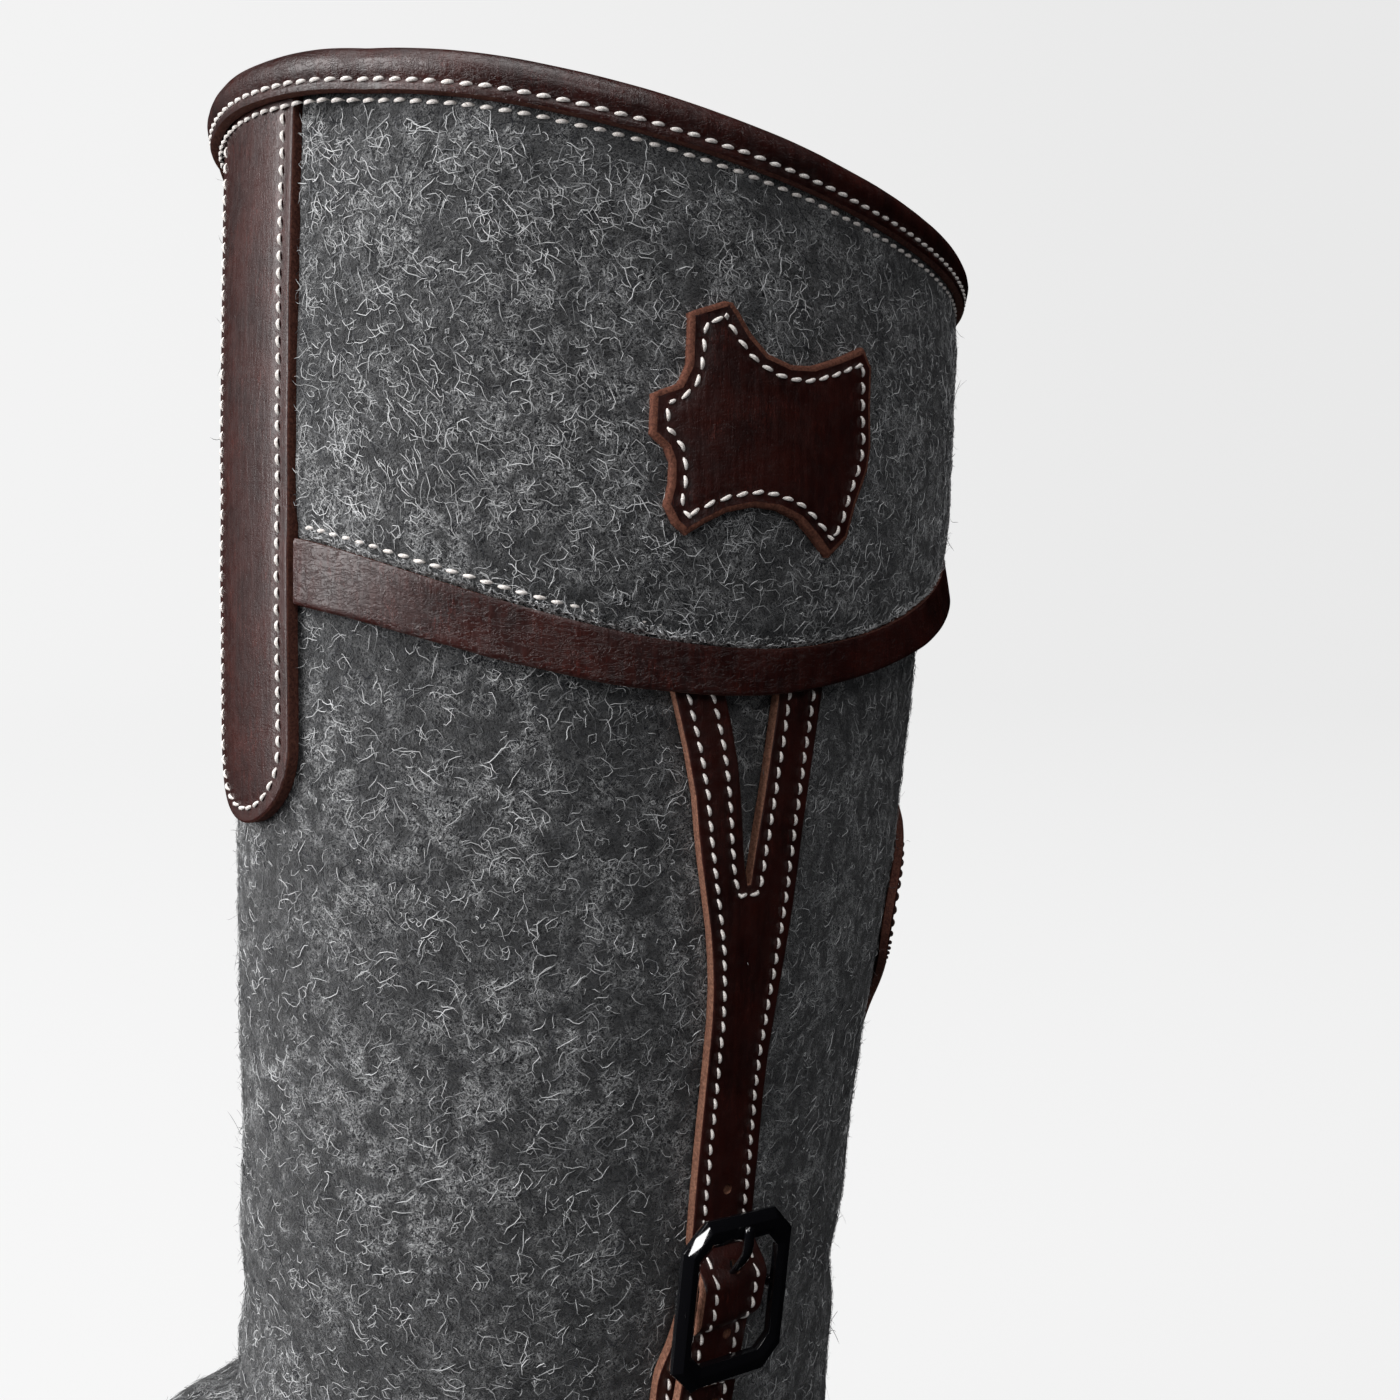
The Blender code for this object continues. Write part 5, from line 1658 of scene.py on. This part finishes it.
def foot_form(lift):
    """Closed form of the foot that the sole is cut by."""
    around = 96
    angles = np.linspace(0.0, TURN, around, endpoint=False)
    rings = [skin(angles, np.full_like(angles, row), lift) for row in np.linspace(-2.0, LAST_ROW, 70)]
    pole = rings[-1].mean(axis=0)
    pole[1] = rings[-1][:, 1].min() - TOE_CROWN
    points = np.concatenate(rings + [pole[None, :]])
    faces = ring_faces(len(rings), around).tolist()
    end = (len(rings) - 1) * around
    faces += [[end + j, end + (j + 1) % around, len(points) - 1] for j in range(around)]
    faces.append(list(reversed(range(around))))
    return face_outwards(make_mesh("foot_form", points, faces, [RUBBER]))


# Sewing


def binding_face(angle):
    """Lift of the binding's outer face near its seam."""
    return under_binding(angle) + GAP + BINDING_THICKNESS - 0.15


RIM_ROW = float(row_at(RIM[0]))


def over_rim(arc, height, lift):
    """Point round the rim: way round at the rim's own row, height from the rim, lift."""
    angle = ARCS.angle(arc, RIM_ROW)
    return skin(angle, row_at(bowed(RIM, angle) + height), lift)


def sew_binding():
    whole = float(ARCS.ring_length(RIM_ROW))
    arcs = np.linspace(0.0, whole, 600)
    threads = Threads()

    def face_lift(arc, height):
        return binding_face(ARCS.angle(arc, RIM_ROW))

    def inside_lift(arc, height):
        return np.full(np.shape(arc), -WALL - GAP - BINDING_THICKNESS - THREAD_RADIUS * 0.3)

    def below_lift(arc, height):
        return under_binding(ARCS.angle(arc, RIM_ROW)) + 0.1

    row = np.full_like(arcs, -BINDING_OUTER_LEG + BINDING_SEAM)
    threads.sew(np.stack([arcs, row], -1), over_rim, face_lift)
    below = np.full_like(arcs, -BINDING_OUTER_LEG - 1.0)
    threads.sew(np.stack([arcs, below], -1), over_rim, below_lift)
    inner = np.full_like(arcs, -BINDING_INNER_LEG + 1.7)
    threads.sew(np.stack([arcs, inner], -1), over_rim, inside_lift, length=1.9)
    return threads.finish("threads_binding", THREAD, "leather")


def sew_cuff():
    """Row of stitches near the cuff's lower edge, sunk in the nap."""
    start = beside_strip(2.0, 290.0)
    threads = Threads(THREAD_RADIUS * 0.95)
    angles = np.linspace(start, TURN - start, 500)
    arcs_of = np.concatenate([[0.0], np.cumsum(np.linalg.norm(
        np.diff(skin(angles, row_at(bowed(CUFF_EDGE, angles))), axis=0), axis=1))])

    def onto(arc, height, lift):
        angle = np.interp(arc, arcs_of, angles)
        rows = row_at(bowed(CUFF_EDGE, angle) + height)
        return skin(angle, rows, lift)

    def lift(arc, height):
        angle = np.interp(arc, arcs_of, angles)
        buried = 0.8 * smooth_step(52.0, 66.0, from_front(angle))
        return cuff_lift(angle, height / CUFF_HEIGHT) - 0.35 - buried

    path = np.stack([arcs_of, np.full_like(arcs_of, CUFF_SEAM)], -1)
    threads.sew(path, onto, lift)
    return threads.finish("threads_cuff", THREAD, "felt")


def make_threads():
    sew_binding()
    sew_cuff()
    strip = Threads()
    strip.sew(strip_seam(), wrap, lambda a, h: strip_lift(a, h) + STRIP_THICKNESS - 0.45)
    strip.finish("threads_strip", THREAD, "leather")
    straps = Threads()
    for seam in y_seams():
        straps.sew(seam, wrap, lambda a, h: strap_lift(a, h) + STRAP_THICKNESS - 0.12)
    make_lower_strap(straps)
    straps.finish("threads_straps", THREAD, "leather")
    stay = Threads()
    make_back_stay(stay)
    stay.finish("threads_stay", BROWN_THREAD, "leather")
    patch = Threads()
    patch.sew(patch_seam(), wrap, flat_lift(PATCH_LIFT + PATCH_THICKNESS - 0.12), closed=True,
              pitch=2.9)
    patch.finish("threads_patch", THREAD, "leather")


# Stage


def make_stage():
    """Pale floor that curves up to a wall all round."""
    rings = []
    # Section of the floor: distance from the boot and height, in metres.
    for k in range(13):
        turn = math.pi / 2 * k / 12
        rings.append((3.2 + 1.6 * math.sin(turn), 1.6 * (1 - math.cos(turn))))
    section = [(0.35, 0.0), (1.2, 0.0), (2.4, 0.0)] + rings + [(4.8, 3.2), (4.8, 4.2)]
    count = 72
    points = [(0.0, 0.0, 0.0)]
    for radius, height in section:
        for k in range(count):
            turn = TURN * k / count
            points.append((radius * math.cos(turn), radius * math.sin(turn), height))
    faces = [(0, 1 + k, 1 + (k + 1) % count) for k in range(count)]
    for i in range(len(section) - 1):
        for k in range(count):
            n = (k + 1) % count
            a, b = 1 + i * count, 1 + (i + 1) * count
            faces.append((a + k, b + k, b + n, a + n))
    mesh = bpy.data.meshes.new("floor")
    mesh.from_pydata(points, [], faces)
    mesh.materials.append(floor_material())
    mesh.shade_smooth()
    floor = linked("floor", mesh)
    floor.visible_glossy = False
    floor.visible_diffuse = False
    floor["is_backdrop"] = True


def make_light(name, place_of, target, size, power):
    light = bpy.data.lights.new(name, "AREA")
    light.shape = "RECTANGLE"
    light.size, light.size_y = size
    light.energy = power
    obj = linked(name, light)
    obj.location = place_of
    obj.rotation_euler = (Vector(target) - Vector(place_of)).to_track_quat("-Z", "Y").to_euler()


def make_lights():
    make_light("key", (-0.30, -1.45, 0.86), (0.0, 0.0, 0.25), (1.1, 1.6), 44.0)
    make_light("left_box", (-1.25, -0.80, 0.50), (0.0, 0.0, 0.22), (0.8, 1.0), 0.9)
    make_light("glint", (0.94, -0.40, 0.86), (0.055, 0.04, 0.16), (0.24, 0.24), 2.2)
    make_light("top", (0.2, -0.3, 2.0), (0.0, 0.0, 0.0), (1.4, 1.4), 20.0)
    world = bpy.data.worlds.new("room")
    world.use_nodes = True
    backdrop = world.node_tree.nodes["Background"]
    backdrop.inputs["Color"].default_value = (0.95, 0.97, 1.0, 1.0)
    backdrop.inputs["Strength"].default_value = 0.13
    world.cycles_visibility.glossy = False
    bpy.context.scene.world = world
    bpy.context.scene.view_settings.view_transform = "Standard"


def make_camera():
    camera = bpy.data.cameras.new("camera")
    camera.sensor_fit = "HORIZONTAL"
    camera.sensor_width = SENSOR
    camera.lens = FOCAL_PIXELS / PHOTO_PIXELS * SENSOR
    camera.clip_start = 0.01
    obj = linked("camera", camera)
    obj.location = CAMERA_PLACE
    obj.rotation_euler = Vector(CAMERA_FORWARD).to_track_quat("-Z", "Y").to_euler()
    bpy.context.scene.camera = obj


def write_sizes():
    boxes = {"cad": CAD_BOX, "visual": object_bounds()}
    plain = {name: [[float(v) for v in corner] for corner in box] for name, box in boxes.items()}


make_stage()
make_lights()
make_camera()
make_upper()
make_cuff()
make_insole()
make_band()
make_binding()
make_front_strip()
make_y_strap()
make_patch()
make_buckle()
make_prong()
make_outsole()
make_threads()
make_fibres()
write_sizes()
